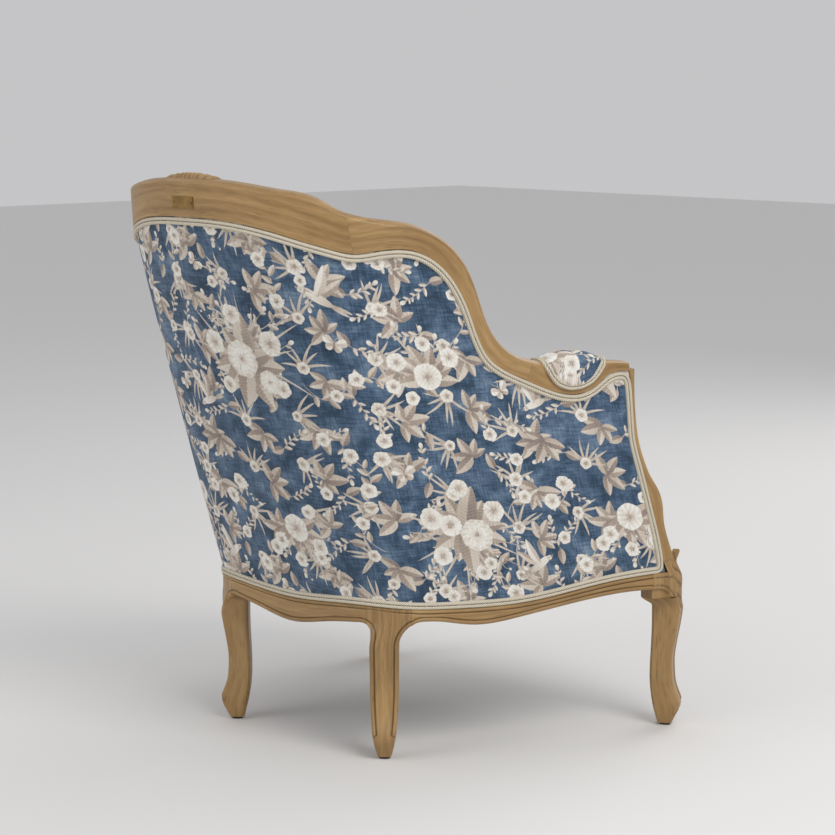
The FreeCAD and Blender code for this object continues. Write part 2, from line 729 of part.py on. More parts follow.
# Arm pads: stuffed pads over the arm rails, each with a double cord round its edge
PAD_ROWS = [
    (0.744, 656.0, 0.18), (0.752, 641.0, 0.50), (0.768, 626.0, 0.80), (0.794, 618.0, 1.00),
    (0.822, 619.5, 0.98), (0.846, 627.0, 0.78), (0.864, 641.0, 0.50), (0.876, 656.0, 0.18)]
pad_rise = 18.0            # crown of an arm pad over the arm rail
pad_side = 6.0             # how far it swells past the arm rail's sides
arm_mid_z = (arm_top_z + arm_low_z) / 2


def over_arm(u, z, depth):
    place = shell(u, arm_mid_z) + level_normal(0.5, u) * depth
    return V(place.x, place.y, z)


def pad_section(u, edge, rise, side_swell, low_extra):
    outer = wood_proud + side_swell
    inner = wood_proud - show_t - side_swell
    top = arm_top_z + 1 + rise
    shoulder = max(edge + 4, arm_top_z - 7)
    low = edge + low_extra
    halfway = (shoulder + top) / 2
    return [over_arm(u, low, wood_proud - 2), over_arm(u, low + 1, outer),
            over_arm(u, shoulder, outer + 1), over_arm(u, halfway, outer - 3),
            over_arm(u, top - 1.5, outer - 14), over_arm(u, top, (outer + inner) / 2),
            over_arm(u, top - 1.5, inner + 14), over_arm(u, halfway, inner + 3),
            over_arm(u, shoulder, inner - 1), over_arm(u, low + 1, inner),
            over_arm(u, low, wood_proud - show_t + 2)]


pad_ends_u = 0.006
arm_pad_body = loft([pad_section(u, edge, pad_rise * swell, pad_side * (0.4 + 0.6 * swell), 9)
                     for u, edge, swell in PAD_ROWS[1:-1]])
welt_rows = [(PAD_ROWS[0][0] - pad_ends_u, PAD_ROWS[0][1])]
welt_rows += [(u, edge) for u, edge, _ in PAD_ROWS]
welt_rows += [(PAD_ROWS[-1][0] + pad_ends_u, PAD_ROWS[-1][1])]
arm_pad_band = loft([pad_section(u, edge, 3.5, 0.7 * cord_d, 0) for u, edge in welt_rows])
arm_pad = arm_pad_body.cut(pieces["arm_rail_right"])
band = arm_pad_band.cut(arm_pad_body).cut(pieces["arm_rail_right"])
for name, solid in (("arm_pad_", arm_pad), ("arm_pad_welt_", band)):
    pieces[name + "right"] = solid
    pieces[name + "left"] = solid.mirror(V(0, 0, 0), X_MIRROR)


# Crest carving, cut from the crest rail's own wood
carve_steps = 8
carve_u = 0.24 * carving_half / (0.619 * shoulder_half)


def carve_section(share):
    station = back_station(share * carve_u, crest_low_z)
    h = station.wood_h
    rise = carving_rise * (0.35 + 0.65 * cos(share * pi / 2))
    inner = wood_proud - show_t
    return [station.wood(h - 5, -6), station.wood(h + rise - 2, wood_proud - 13),
            station.wood(h + rise, wood_proud - 17), station.wood(h + rise, inner + 13),
            station.wood(h - 5, inner + 9)]


carving = loft([carve_section(2 * step / carve_steps - 1) for step in range(carve_steps + 1)])
pieces["crest_rail"] = pieces["crest_rail"].fuse(carving).removeSplitter().Solids[0]

# Crest plate: thin brass on the back of the crest rail, with two pins
plate_u = carve_u * plate_w / (2 * carving_half)


def plate_section(share):
    station = back_station(share * plate_u, crest_low_z)
    middle = (plate_z - crest_low_z) / station.wood_up.z
    low, high = middle - plate_h / 2, middle + plate_h / 2
    near = wood_proud + layer_gap
    return [station.wood(low, near), station.wood(high, near),
            station.wood(high, near + plate_t), station.wood(low, near + plate_t)]


plate = loft([plate_section(share) for share in (-1, -0.5, 0, 0.5, 1)])
pins = []
for share in (-0.82, 0.82):
    station = back_station(share * plate_u, crest_low_z)
    middle = (plate_z - crest_low_z) / station.wood_up.z
    inside = station.wood(middle, wood_proud - 9)
    outside = station.wood(middle, wood_proud + 2 * layer_gap + plate_t)
    axis = (outside - inside).normalize()
    length = (outside - inside).Length
    hole = Part.makeCylinder(plate_pin_r + dowel_gap, length + 4, inside - axis * 0.3, axis)
    plate = plate.cut(hole)
    pieces["crest_rail"] = pieces["crest_rail"].cut(hole)
    pins.append(Part.makeCylinder(plate_pin_r, length, inside, axis).fuse(
        Part.makeCylinder(2 * plate_pin_r, 0.6, outside, axis)))
pieces["crest_plate"] = plate
pieces["plate_pins"] = Part.makeCompound(pins)


# Seat suspension: sinuous springs from the rear rail to the front rail, held in clips
def rear_rail_y(x, depth):
    """Where a line at this x meets the rear rail or its corner at a depth."""
    u = 0.0
    while rail_point(u, 0, -depth).x > -abs(x):
        u += 0.002
    return rail_point(u, 0, -depth).y


def spring_places():
    for number in range(spring_count):
        x = (number - (spring_count - 1) / 2) * spring_spacing
        front = front_face_y(x) + apron_proud + rail_inner_d - 12
        back = rear_rail_y(abs(x) + spring_half_w, rail_inner_d - 8)
        bars = int((back - front) / spring_pitch)
        yield x, front, (back - front) / bars, bars


def sinuous_spring(x, front, pitch, bars):
    edges = []
    reach = spring_half_w - pitch / 2
    for bar in range(bars + 1):
        way = 1 if bar % 2 == 0 else -1
        y = front + bar * pitch
        start, end = V(x - way * reach, y, wire_z), V(x + way * reach, y, wire_z)
        edges.append(Part.makeLine(start, end))
        if bar < bars:
            turn = V(x + way * spring_half_w, y + pitch / 2, wire_z)
            edges.append(Part.Arc(end, turn, end + V(0, pitch, 0)).toShape())
    path = Part.Wire(edges)
    circle = Part.Circle(V(x - reach, front, wire_z), V(1, 0, 0), spring_wire / 2).toShape()
    return path.makePipeShell([Part.Wire([circle])], True, False)


def spring_clip(x, y, way):
    """Clip over a spring's end bar; way is 1 at the front rail and -1 at the rear."""
    wide, deep, sheet_t = 18.0, 11.0, 1.2
    floor_z = leg_block_top_z + fit_gap
    web_y = y - way * (spring_wire / 2 + 0.2 + sheet_t)
    tail_y = web_y + way * deep

    def plate_at(y1, y2, low, high):
        return Part.makeBox(wide, abs(y2 - y1), high - low, V(x - wide / 2, min(y1, y2), low))

    lower = plate_at(web_y, tail_y, floor_z, floor_z + sheet_t)
    web = plate_at(web_y, web_y + way * sheet_t, floor_z, clip_top_z)
    upper = plate_at(web_y, tail_y - way * 3, clip_top_z - sheet_t, clip_top_z)
    return lower.fuse([web, upper]).removeSplitter().Solids[0]


springs = []
clips = []
for x, front, pitch, bars in spring_places():
    springs.append(sinuous_spring(x, front, pitch, bars))
    clips.append(spring_clip(x, front, 1))
    clips.append(spring_clip(x, front + bars * pitch, -1))
pieces["seat_springs"] = Part.makeCompound(springs)
pieces["spring_clips"] = Part.makeCompound(clips)


# Seat deck: hessian, pad and cover over the springs, then a padded lip on the front rail
lip_depth = 40.0
lip_round = 9.0
deck_side_d = frame_inner_d + 11.0
deck_front_x = leg_block_x - 5


def mirrored_outline(right_points):
    """Closed outline from points of the right half, listed from the back to the front."""
    left = [V(-p.x, p.y, p.z) for p in reversed(right_points) if abs(p.x) > 0.01]
    return right_points + left


def deck_front_y(x):
    return front_face_y(x) + apron_proud + lip_depth + 1.0


def front_points(limit, line_y, steps=4):
    return [V(-limit * (1 - step / steps), line_y(limit * (1 - step / steps)), 0)
            for step in range(steps + 1)]


deck_right = [STATION[i].at_height(deck_z, -deck_side_d) for i in range(0, 19)]
deck_right += [V(-deck_front_x, STATION[18].at_height(deck_z, 0).y - 55, 0)]
deck_right += front_points(deck_front_x, deck_front_y)
deck_outline = mirrored_outline(deck_right)
pieces["seat_hessian"] = prism(deck_outline, deck_hessian_z, deck_hessian_z + hessian_t)
pieces["deck_pad"] = prism(deck_outline, deck_pad_z, deck_pad_z + deck_pad_t)
pieces["deck_cover"] = prism(deck_outline, deck_cover_z, deck_z)

lip_low_z = seat_top_front_z + 4 + fit_gap
lip_x = leg_block_x - 4
lip_places = [lip_x * (2 * step / front_steps - 1) for step in range(front_steps + 1)]
lip_step = 17.5            # how far in the pad lies on the rail, before it steps over the clips


def lip_pad_section(x):
    y = front_face_y(x) + apron_proud
    skin = cover_t + layer_gap
    return [V(x, y + lip_step, leg_block_top_z + fit_gap),
            V(x, y + frame_d - 4, leg_block_top_z + fit_gap), V(x, y + skin, leg_block_top_z + 6),
            V(x, y + skin, deck_cover_z - lip_round), V(x, y + skin + 3, deck_cover_z - 3),
            V(x, y + skin + lip_round, deck_cover_z - layer_gap),
            V(x, y + lip_depth, deck_cover_z - layer_gap),
            V(x, y + lip_depth, clip_top_z + layer_gap),
            V(x, y + lip_step, clip_top_z + layer_gap)]


def lip_cover_section(x):
    y = front_face_y(x) + apron_proud
    inside = y + cover_t
    return [V(x, y, lip_low_z), V(x, y, deck_z - lip_round), V(x, y + 2.6, deck_z - 2.6),
            V(x, y + lip_round, deck_z), V(x, y + lip_depth, deck_z),
            V(x, y + lip_depth, deck_cover_z), V(x, inside + lip_round, deck_cover_z),
            V(x, inside + 2.6, deck_cover_z - 2.6), V(x, inside, deck_cover_z - lip_round),
            V(x, inside, lip_low_z)]


def lip_cord_section(x):
    y = front_face_y(x) + apron_proud
    return cord_pair(lambda s, d: V(x, y - d, lip_low_z + s), 1)


pieces["front_lip_pad"] = loft([lip_pad_section(x) for x in lip_places])
pieces["front_lip_cover"] = loft([lip_cover_section(x) for x in lip_places])
pieces["front_welt"] = loft([lip_cord_section(x) for x in lip_places])


# Loose seat cushion: a foam core in a fabric cover, with a piping round both edges
cushion_mid_z = deck_z + cushion_h / 2


def cushion_side(index):
    station = STATION[index]
    face = pad_d + pad_thickness(station) + pad_crown(station) + layer_gap + cover_t
    return station.at_height(cushion_mid_z, -(face + cushion_gap))


cushion_right = [cushion_side(i) for i in (0, 1, 2, 3)]
cushion_right += [cushion_side(i) for i in (8, 11, 14, 16, 18)]
corner_x = -cushion_right[-1].x + 14
cushion_front_gap = 9.0


def cushion_front_y(x):
    return front_face_y(x) + cushion_front_gap


cushion_right += [V(-corner_x, cushion_front_y(corner_x) + 22, 0),
                  V(-corner_x + 8, cushion_front_y(corner_x) + 7, 0)]
cushion_right += front_points(corner_x - 24, cushion_front_y, 4)
cushion_outline = mirrored_outline(cushion_right)
cushion_center = V(0, (cushion_right[0].y + cushion_front_y(0)) / 2, 0)
CUSHION_LEVELS = [
    (0.00, 0.952), (0.09, 0.972), (0.28, 0.994), (0.50, 1.000), (0.72, 0.994), (0.91, 0.972),
    (1.00, 0.948)]
CROWN_LEVELS = [(0.36, 0.87), (0.66, 0.73), (0.86, 0.55), (0.97, 0.34), (1.00, 0.14)]


def cushion_ring(z, scale):
    return [V(cushion_center.x + (p.x - cushion_center.x) * scale,
              cushion_center.y + (p.y - cushion_center.y) * scale, z) for p in cushion_outline]


def cushion_body(skin):
    """Cushion with its drawn-in edges and crown, or its core when skin is taken off."""
    narrower = skin / 260.0
    low = deck_z + fit_gap + skin
    tall = cushion_h - 2 * skin
    rings = [cushion_ring(low + share * tall, scale - narrower)
             for share, scale in CUSHION_LEVELS]
    rings += [cushion_ring(low + tall + share * cushion_crown, scale - narrower)
              for share, scale in CROWN_LEVELS]
    return loft(rings, True)


cushion_whole = cushion_body(0)
pieces["cushion_core"] = cushion_body(cushion_skin + layer_gap)
pieces["cushion_cover"] = cushion_whole.cut(cushion_body(cushion_skin))
piping_zs = (deck_z + fit_gap + 0.09 * cushion_h, deck_z + fit_gap + 0.91 * cushion_h)


def piping_ring(z):
    outer = prism(cushion_ring(0, 1.000), z - piping_d / 2, z + piping_d / 2)
    inner = prism(cushion_ring(0, 0.9768), z - piping_d, z + piping_d)
    return outer.cut(inner)


pieces["cushion_piping"] = Part.makeCompound([piping_ring(z).Solids[0] for z in piping_zs])


# Dust cover under the seat, inside the rails
dust_z = block_low_z + 12
dust_t = 1.2
dust_d = block_inner_d + 0.4
dust_right = [rail_point(u, 0, -dust_d) for u in (0, 0.08, 0.16, 0.23, 0.27, 0.30, 0.34,
                                                  0.42, 0.50, 0.58, 0.66, 0.74, 0.82, 0.875)]
dust_right += [V(-leg_block_x + 2, corner_in[1].y, 0),
               V(-leg_block_x + 2, corner_in[0].y + 0.4, 0)]
dust_right += front_points(leg_block_x - 6,
                           lambda x: front_face_y(x) + apron_proud + rail_inner_d + 0.4, 5)
pieces["dust_cover"] = prism(mirrored_outline(dust_right), dust_z, dust_z + dust_t)


# Corner blocks and their screws, inside the four corners of the seat frame
def rail_face(u):
    return rail_point(u, 0, -rail_inner_d - 0.2)


def front_rail_face(x):
    return V(-x, front_face_y(x) + apron_proud + rail_inner_d + 0.4, 0)


block_z = dust_z + dust_t + layer_gap
corners = {
    "rear": [rail_face(0.145), rail_face(LEG_U[0] - 0.020),
             rail_point(LEG_U[0] - 0.005, 0, -block_inner_d - 0.6),
             rail_point(LEG_U[1] + 0.005, 0, -block_inner_d - 0.6),
             rail_face(LEG_U[1] + 0.020), rail_face(0.44)],
    "front": [rail_face(0.80), rail_face(0.882)] + [
        front_rail_face(leg_block_x - back) for back in (10, 32, 54, 76)]}
screw_spots = {"rear": [(0.175, None), (0.405, None)],
               "front": [(0.835, None), (None, leg_block_x - 46)]}
screw_head_r = 2 * screw_r
blocks = []
screws = []


def seat_screw(u, x):
    """Screw square to a rail's inner face, from its head inwards."""
    if u is None:
        face = front_rail_face(x)
        axis = V(0, -1, 0)
    else:
        face = rail_face(u)
        axis = level_normal(0, u)
    start = face - axis * 14 + UP * (block_z + block_h / 2)
    shank = Part.makeCylinder(screw_r, screw_len - 8, start, axis)
    head = Part.makeCylinder(screw_head_r, 3, start - axis * 3, axis)
    hole = Part.makeCylinder(screw_r + dowel_gap, screw_len - 7, start - axis * 0.5, axis)
    sink = Part.makeCylinder(screw_head_r + 0.4, 60, start - axis * 60, axis)
    return shank.fuse(head).removeSplitter().Solids[0], hole, sink


def drilled(name, holes):
    shape = pieces[name]
    for hole in holes:
        shape = shape.cut(hole)
    pieces[name] = shape


for end, outline in corners.items():
    block = prism(outline, block_z, block_z + block_h)
    for u, x in screw_spots[end]:
        screw, hole, sink = seat_screw(u, x)
        block = block.cut(hole).cut(sink)
        if u is None:
            drilled("front_seat_rail", [hole, hole.mirror(V(0, 0, 0), X_MIRROR)])
        elif u < LEG_U[0]:
            drilled("rear_seat_rail", [hole, hole.mirror(V(0, 0, 0), X_MIRROR)])
        else:
            drilled("side_seat_rail_right", [hole])
            drilled("side_seat_rail_left", [hole.mirror(V(0, 0, 0), X_MIRROR)])
        screws += [screw, screw.mirror(V(0, 0, 0), X_MIRROR)]
    blocks += [block, block.mirror(V(0, 0, 0), X_MIRROR)]
pieces["corner_blocks"] = Part.makeCompound([s for b in blocks for s in b.Solids])
pieces["corner_screws"] = Part.makeCompound(screws)


# Dowels: a pair in each seat joint, one in each joint of the arms and back
dowels = []


def add_dowel(place, axis, names, length=dowel_len):
    """Dowel centred on a joint, with holes in the two pieces it joins, on both sides."""
    axis = axis.normalize()
    start = place - axis * (length / 2)
    peg = Part.makeCylinder(dowel_r, length, start, axis)
    hole = Part.makeCylinder(dowel_r + dowel_gap, length + 2, start - axis, axis)
    for side, sign in SIDES.items():
        tool = hole if sign > 0 else hole.mirror(V(0, 0, 0), X_MIRROR)
        for name in names:
            drilled(name.replace("SIDE", side), [tool])
        dowels.append(peg if sign > 0 else peg.mirror(V(0, 0, 0), X_MIRROR))


rail_dowel_d = -(frame_d + rail_inner_d) / 2
rail_dowel_zs = (block_low_z + 16, leg_block_top_z - 16)
front_dowel_zs = (apron_front_z + 12, leg_block_top_z - 14)
for u, rail in ((LEG_U[0], "rear_seat_rail"), (LEG_U[1], "side_seat_rail_SIDE")):
    ahead = rail_point(u + 0.01, 0, 0) - rail_point(u - 0.01, 0, 0)
    for z in rail_dowel_zs:
        add_dowel(rail_point(u, z, rail_dowel_d), ahead, [rail, "rear_leg_SIDE"])
ahead = rail_point(FRONT_LEG_U + 0.01, 0, 0) - rail_point(FRONT_LEG_U - 0.01, 0, 0)
for z in front_dowel_zs:
    add_dowel(rail_point(FRONT_LEG_U, z, rail_dowel_d), ahead,
              ["side_seat_rail_SIDE", "front_leg_SIDE"], 34)
    add_dowel(V(-leg_block_x, front_rail_y + apron_proud - rail_dowel_d, z), V(1, 0, 0),
              ["front_seat_rail", "front_leg_SIDE"], 34)


def joint_dowel(index, names, rise=26.0):
    """Dowel across the joint plane of a station, in the middle of the show-wood's section."""
    station = STATION[index]
    place = station.wood(rise, wood_proud - show_t / 2)
    add_dowel(place, station.wood_up.cross(station.out), names)


joint_dowel(CREST_END, ["crest_rail", "shoulder_SIDE"])
joint_dowel(SHOULDER_END, ["shoulder_SIDE", "arm_rail_SIDE"], 18.0)
post_foot = post_place(0.978, leg_block_top_z, -20) + UP * 4
add_dowel(post_foot, UP, ["arm_post_SIDE", "front_leg_SIDE"])
post_head = post_place(0.955, arm_front_low_z - 8, -20)
add_dowel(post_head, UP, ["arm_post_SIDE", "arm_rail_SIDE"], 40)
stile_foot = STATION[4].at_height(leg_block_top_z, -(frame_d + 0.66 * frame_t))
add_dowel(stile_foot, UP, ["rear_stile_SIDE", "rear_leg_SIDE"], 40)
upright_foot = STATION[11].at_height(leg_block_top_z, -(frame_d + 0.5 * frame_t))
add_dowel(upright_foot, UP, ["side_upright_SIDE", "side_seat_rail_SIDE"], 40)
pieces["frame_dowels"] = Part.makeCompound(dowels)


# Glides: low pads nailed under the four feet
glides = []
glide_pin_r = 1.6
glide_pin_len = 16.0
for name, center, facing in (("rear_leg_", rear_foot, rear_facing),
                             ("front_leg_", front_foot, front_facing)):
    middle = center - facing * 3.5
    pad = Part.makeCylinder(glide_r, glide_t, middle, UP)
    pin = Part.makeCylinder(glide_pin_r, glide_pin_len, middle + UP * (glide_t - 0.5), UP)
    glide = pad.fuse(pin).removeSplitter().Solids[0]
    hole = Part.makeCylinder(glide_pin_r + dowel_gap, glide_pin_len + 1, middle + UP * glide_t, UP)
    drilled(name + "right", [hole])
    drilled(name + "left", [hole.mirror(V(0, 0, 0), X_MIRROR)])
    glides += [glide, glide.mirror(V(0, 0, 0), X_MIRROR)]
pieces["foot_glides"] = Part.makeCompound(glides)


# Export, with the origin moved to the floor under the middle of the chair
lows = [shape.optimalBoundingBox() for shape in pieces.values()]
middle_y = (min(box.YMin for box in lows) + max(box.YMax for box in lows)) / 2
os.makedirs("parts", exist_ok=True)
for name, shape in pieces.items():
    solids = shape.Solids
    placed = solids[0] if len(solids) == 1 else Part.makeCompound(solids)
    placed = placed.translated(V(0, -middle_y, 0))
    placed.exportStep("parts/" + name + ".step")
print("pieces", len(pieces), "shift", round(middle_y, 3))
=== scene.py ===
import json
import math

import bmesh
import bpy
import numpy as np
from mathutils import Matrix, Vector

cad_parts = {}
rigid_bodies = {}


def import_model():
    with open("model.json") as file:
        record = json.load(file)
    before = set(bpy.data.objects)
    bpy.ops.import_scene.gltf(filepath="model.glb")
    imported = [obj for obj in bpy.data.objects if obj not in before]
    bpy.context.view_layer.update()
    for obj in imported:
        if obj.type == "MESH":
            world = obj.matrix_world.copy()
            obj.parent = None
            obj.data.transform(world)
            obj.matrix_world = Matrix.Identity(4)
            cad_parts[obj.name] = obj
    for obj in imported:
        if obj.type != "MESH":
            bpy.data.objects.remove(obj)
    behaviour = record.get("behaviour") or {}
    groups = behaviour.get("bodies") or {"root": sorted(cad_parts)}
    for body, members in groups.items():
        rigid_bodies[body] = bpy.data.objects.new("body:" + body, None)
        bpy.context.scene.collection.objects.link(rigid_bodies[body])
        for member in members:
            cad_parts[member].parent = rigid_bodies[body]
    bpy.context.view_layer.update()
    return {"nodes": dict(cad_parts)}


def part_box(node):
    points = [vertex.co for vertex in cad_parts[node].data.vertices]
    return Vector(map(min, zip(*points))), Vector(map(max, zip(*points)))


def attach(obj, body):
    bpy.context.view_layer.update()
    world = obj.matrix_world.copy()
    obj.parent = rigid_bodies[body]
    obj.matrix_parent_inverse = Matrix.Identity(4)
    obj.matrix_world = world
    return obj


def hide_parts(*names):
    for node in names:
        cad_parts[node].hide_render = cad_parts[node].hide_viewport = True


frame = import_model()
nodes = frame["nodes"]

# The chair stands on a pale floor before a pale wall, in soft light from the left and above.
# The camera looks from behind the sitter's right arm.
scene = bpy.context.scene
scene.view_settings.view_transform = "Standard"
camera_data = bpy.data.cameras.new("camera")
camera_data.lens = 2700 / 835 * camera_data.sensor_width
camera = bpy.data.objects.new("camera", camera_data)
camera.location = (-3.4187, 3.1535, 1.1677)
view_direction = Vector((0.71649, -0.68479, -0.13307))
camera.rotation_euler = view_direction.to_track_quat("-Z", "Y").to_euler()
scene.collection.objects.link(camera)
scene.camera = camera


def plain(name, colour, roughness):
    made = bpy.data.materials.new(name)
    made.use_nodes = True
    shader = made.node_tree.nodes["Principled BSDF"]
    shader.inputs["Base Color"].default_value = colour
    shader.inputs["Roughness"].default_value = roughness
    return made


floor_mesh = bpy.data.meshes.new("floor")
floor_size = 14.0
floor_mesh.from_pydata([(x, y, 0) for x, y in ((-floor_size, -floor_size), (floor_size, -floor_size),
                                               (floor_size, floor_size), (-floor_size, floor_size))],
                       [], [(0, 1, 2, 3)])
floor = bpy.data.objects.new("floor", floor_mesh)
floor_mesh.materials.append(plain("pale_floor", (0.74, 0.72, 0.69, 1), 0.75))
scene.collection.objects.link(floor)

world = bpy.data.worlds.new("studio")
world.use_nodes = True
backdrop = world.node_tree.nodes["Background"]
backdrop.inputs["Color"].default_value = (0.93, 0.95, 1.0, 1)
backdrop.inputs["Strength"].default_value = 0.62
wall_glow = world.node_tree.nodes.new("ShaderNodeBackground")
wall_glow.inputs["Color"].default_value = (0.56, 0.56, 0.57, 1)
seen = world.node_tree.nodes.new("ShaderNodeLightPath")
chosen = world.node_tree.nodes.new("ShaderNodeMixShader")
world.node_tree.links.new(seen.outputs["Is Camera Ray"], chosen.inputs[0])
world.node_tree.links.new(backdrop.outputs[0], chosen.inputs[1])
world.node_tree.links.new(wall_glow.outputs[0], chosen.inputs[2])
world.node_tree.links.new(chosen.outputs[0], world.node_tree.nodes["World Output"].inputs[0])
scene.world = world


def lamp(name, place, size, power):
    light = bpy.data.lights.new(name, "AREA")
    light.shape = "DISK"
    light.size = size
    light.energy = power
    made = bpy.data.objects.new(name, light)
    made.location = place
    made.rotation_euler = (Vector((0, 0, 0.5)) - Vector(place)).to_track_quat("-Z", "Y").to_euler()
    scene.collection.objects.link(made)


lamp("key", (-3.2, 0.6, 3.4), 2.4, 92)
lamp("fill", (1.2, 4.2, 2.6), 3.0, 40)
lamp("front", (0.5, -4.0, 2.8), 3.0, 46)

# The crest rail of solid oak, moulded on its front face and plain behind. It is shaped from one
# piece, and a tongue below it carries the tacks of the covers. All show-wood follows the two
# plan curves of the shell, at the seat and at the crown, in millimetres.
seat_half_front, seat_half_rear = 394.0, 237.0
seat_front_y, seat_rear_y = -248.0, 290.0
shell_base_z, shell_crown_z = 250.0, 900.0
back_rake, arm_rake = 225.0, 158.0
shoulder_half, arm_half_front = 291.0, 376.0
crest_low_z, crest_top_z = 908.0, 971.0
shoulder_low_z, shoulder_top_z = 862.0, 906.0
arm_low_z, arm_top_z, arm_front_low_z = 605.0, 659.0, 637.0
seat_top_z, seat_top_front_z = 252.0, 279.0
apron_low_z, apron_side_z, apron_front_z = 210.0, 222.0, 250.0
glide_reach_y = seat_rear_y - 30 - 3.5 * math.sin(math.radians(45)) + 9.5
middle_y = glide_reach_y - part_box("foot_glides")[1].y * 1000


def curve_through(knots, rows):
    """Smooth curve through rows at the knots. It takes an array of places, and 1 for the slope."""
    knots = np.array(knots, float)
    rows = np.array(rows, float).reshape(len(knots), -1)
    steps = np.diff(knots)
    chords = np.diff(rows, axis=0) / steps[:, None]
    count = len(knots)
    system = np.eye(count)
    wanted = np.zeros_like(rows)
    for i in range(1, count - 1):
        system[i, i - 1:i + 2] = (steps[i], 2 * (steps[i - 1] + steps[i]), steps[i - 1])
        wanted[i] = 3 * (steps[i] * chords[i - 1] + steps[i - 1] * chords[i])
    for end, span in ((0, slice(0, 4)), (count - 1, slice(count - 4, count))):
        cubic = np.polyfit(knots[span] - knots[end], rows[span], 3)
        wanted[end] = cubic[2]
    slopes = np.linalg.solve(system, wanted)

    def value(places, order=0):
        places = np.atleast_1d(np.asarray(places, float))
        i = np.clip(np.searchsorted(knots, places) - 1, 0, count - 2)
        h = steps[i][:, None]
        x = ((places - knots[i]) / steps[i])[:, None]
        a, b = rows[i], rows[i + 1]
        c, d = slopes[i] * h, slopes[i + 1] * h
        if order:
            return ((6 * x * x - 6 * x) * (a - b) + (3 * x * x - 4 * x + 1) * c
                    + (3 * x * x - 2 * x) * d) / h
        return ((2 * x ** 3 - 3 * x * x + 1) * a + (3 * x * x - 2 * x ** 3) * b
                + (x ** 3 - 2 * x * x + x) * c + (x ** 3 - x * x) * d)
    return value


def both_sides(rows, odd):
    """Rows (u, ...) of the right half with their mirror; columns in odd change sign."""
    left = [[-v if k in odd else v for k, v in enumerate(row)] for row in rows[:0:-1]]
    whole = np.array(left + [list(row) for row in rows])
    return whole[:, 0], whole[:, 1:]


span_x = seat_half_front - seat_half_rear
span_y = seat_rear_y - seat_front_y
base_plan = curve_through(*both_sides([
    (0.00, 0.0, seat_rear_y),
    (0.12, -0.40 * seat_half_rear, seat_rear_y - 0.004 * span_y),
    (0.24, -0.76 * seat_half_rear, seat_rear_y - 0.026 * span_y),
    (0.34, -1.00 * seat_half_rear, seat_rear_y - 0.093 * span_y),
    (0.44, -seat_half_rear - 0.159 * span_x, seat_rear_y - 0.214 * span_y),
    (0.58, -seat_half_rear - 0.401 * span_x, seat_rear_y - 0.428 * span_y),
    (0.72, -seat_half_rear - 0.631 * span_x, seat_rear_y - 0.651 * span_y),
    (0.86, -seat_half_rear - 0.847 * span_x, seat_rear_y - 0.864 * span_y),
    (1.00, -seat_half_front, seat_front_y)], (0, 1)))
crown_rear_y = seat_rear_y + back_rake
crown_y = crown_rear_y - seat_front_y - arm_rake
crown_x = arm_half_front - shoulder_half
crown_plan = curve_through(*both_sides([
    (0.00, 0.0, crown_rear_y),
    (0.12, -0.326 * shoulder_half, crown_rear_y - 0.013 * crown_y),
    (0.24, -0.619 * shoulder_half, crown_rear_y - 0.056 * crown_y),
    (0.34, -0.845 * shoulder_half, crown_rear_y - 0.131 * crown_y),
    (0.44, -1.000 * shoulder_half, crown_rear_y - 0.236 * crown_y),
    (0.58, -shoulder_half - 0.412 * crown_x, crown_rear_y - 0.418 * crown_y),
    (0.72, -shoulder_half - 0.647 * crown_x, crown_rear_y - 0.628 * crown_y),
    (0.86, -shoulder_half - 0.835 * crown_x, crown_rear_y - 0.835 * crown_y),
    (1.00, -arm_half_front, crown_rear_y - crown_y)], (0, 1)))
front_rise = seat_top_front_z - seat_top_z
seat_line = curve_through(*both_sides([
    (0.00, seat_top_z), (0.20, seat_top_z + 9), (0.36, seat_top_z + 5),
    (0.50, seat_top_z - 1), (0.60, seat_top_z), (0.70, seat_top_z + 0.37 * front_rise),
    (0.80, seat_top_z + 0.78 * front_rise), (0.90, seat_top_z + 0.96 * front_rise),
    (1.00, seat_top_front_z)], (0,)))
apron_line = curve_through(*both_sides([
    (0.00, apron_low_z), (0.11, apron_low_z + 12), (0.20, apron_low_z + 20),
    (0.34, apron_side_z + 14), (0.41, apron_side_z + 12), (0.50, apron_side_z),
    (0.59, apron_side_z + 6), (0.68, apron_front_z - 11), (0.78, apron_front_z - 1),
    (0.90, apron_front_z)], (0,)))


def unit(vectors):
    return vectors / np.linalg.norm(vectors, axis=-1, keepdims=True)


def shell(u, z):
    """Point on the outside of the cover, at a place u round the chair and a height."""
    u, z = np.broadcast_arrays(np.atleast_1d(u).astype(float), z)
    share = ((z - shell_base_z) / (shell_crown_z - shell_base_z))[:, None]
    return np.column_stack([base_plan(u) * (1 - share) + crown_plan(u) * share, z])


def outward(weight, u):
    """Level direction out of the shell, at a share of the way up."""
    run = base_plan(u, 1) * (1 - weight) + crown_plan(u, 1) * weight
    out = np.column_stack([-run[:, 1], run[:, 0], np.zeros(len(run))])
    middle = base_plan(u) - (0, (seat_rear_y + seat_front_y) / 2)
    return unit(out * np.sign((out[:, :2] * middle).sum(1))[:, None])


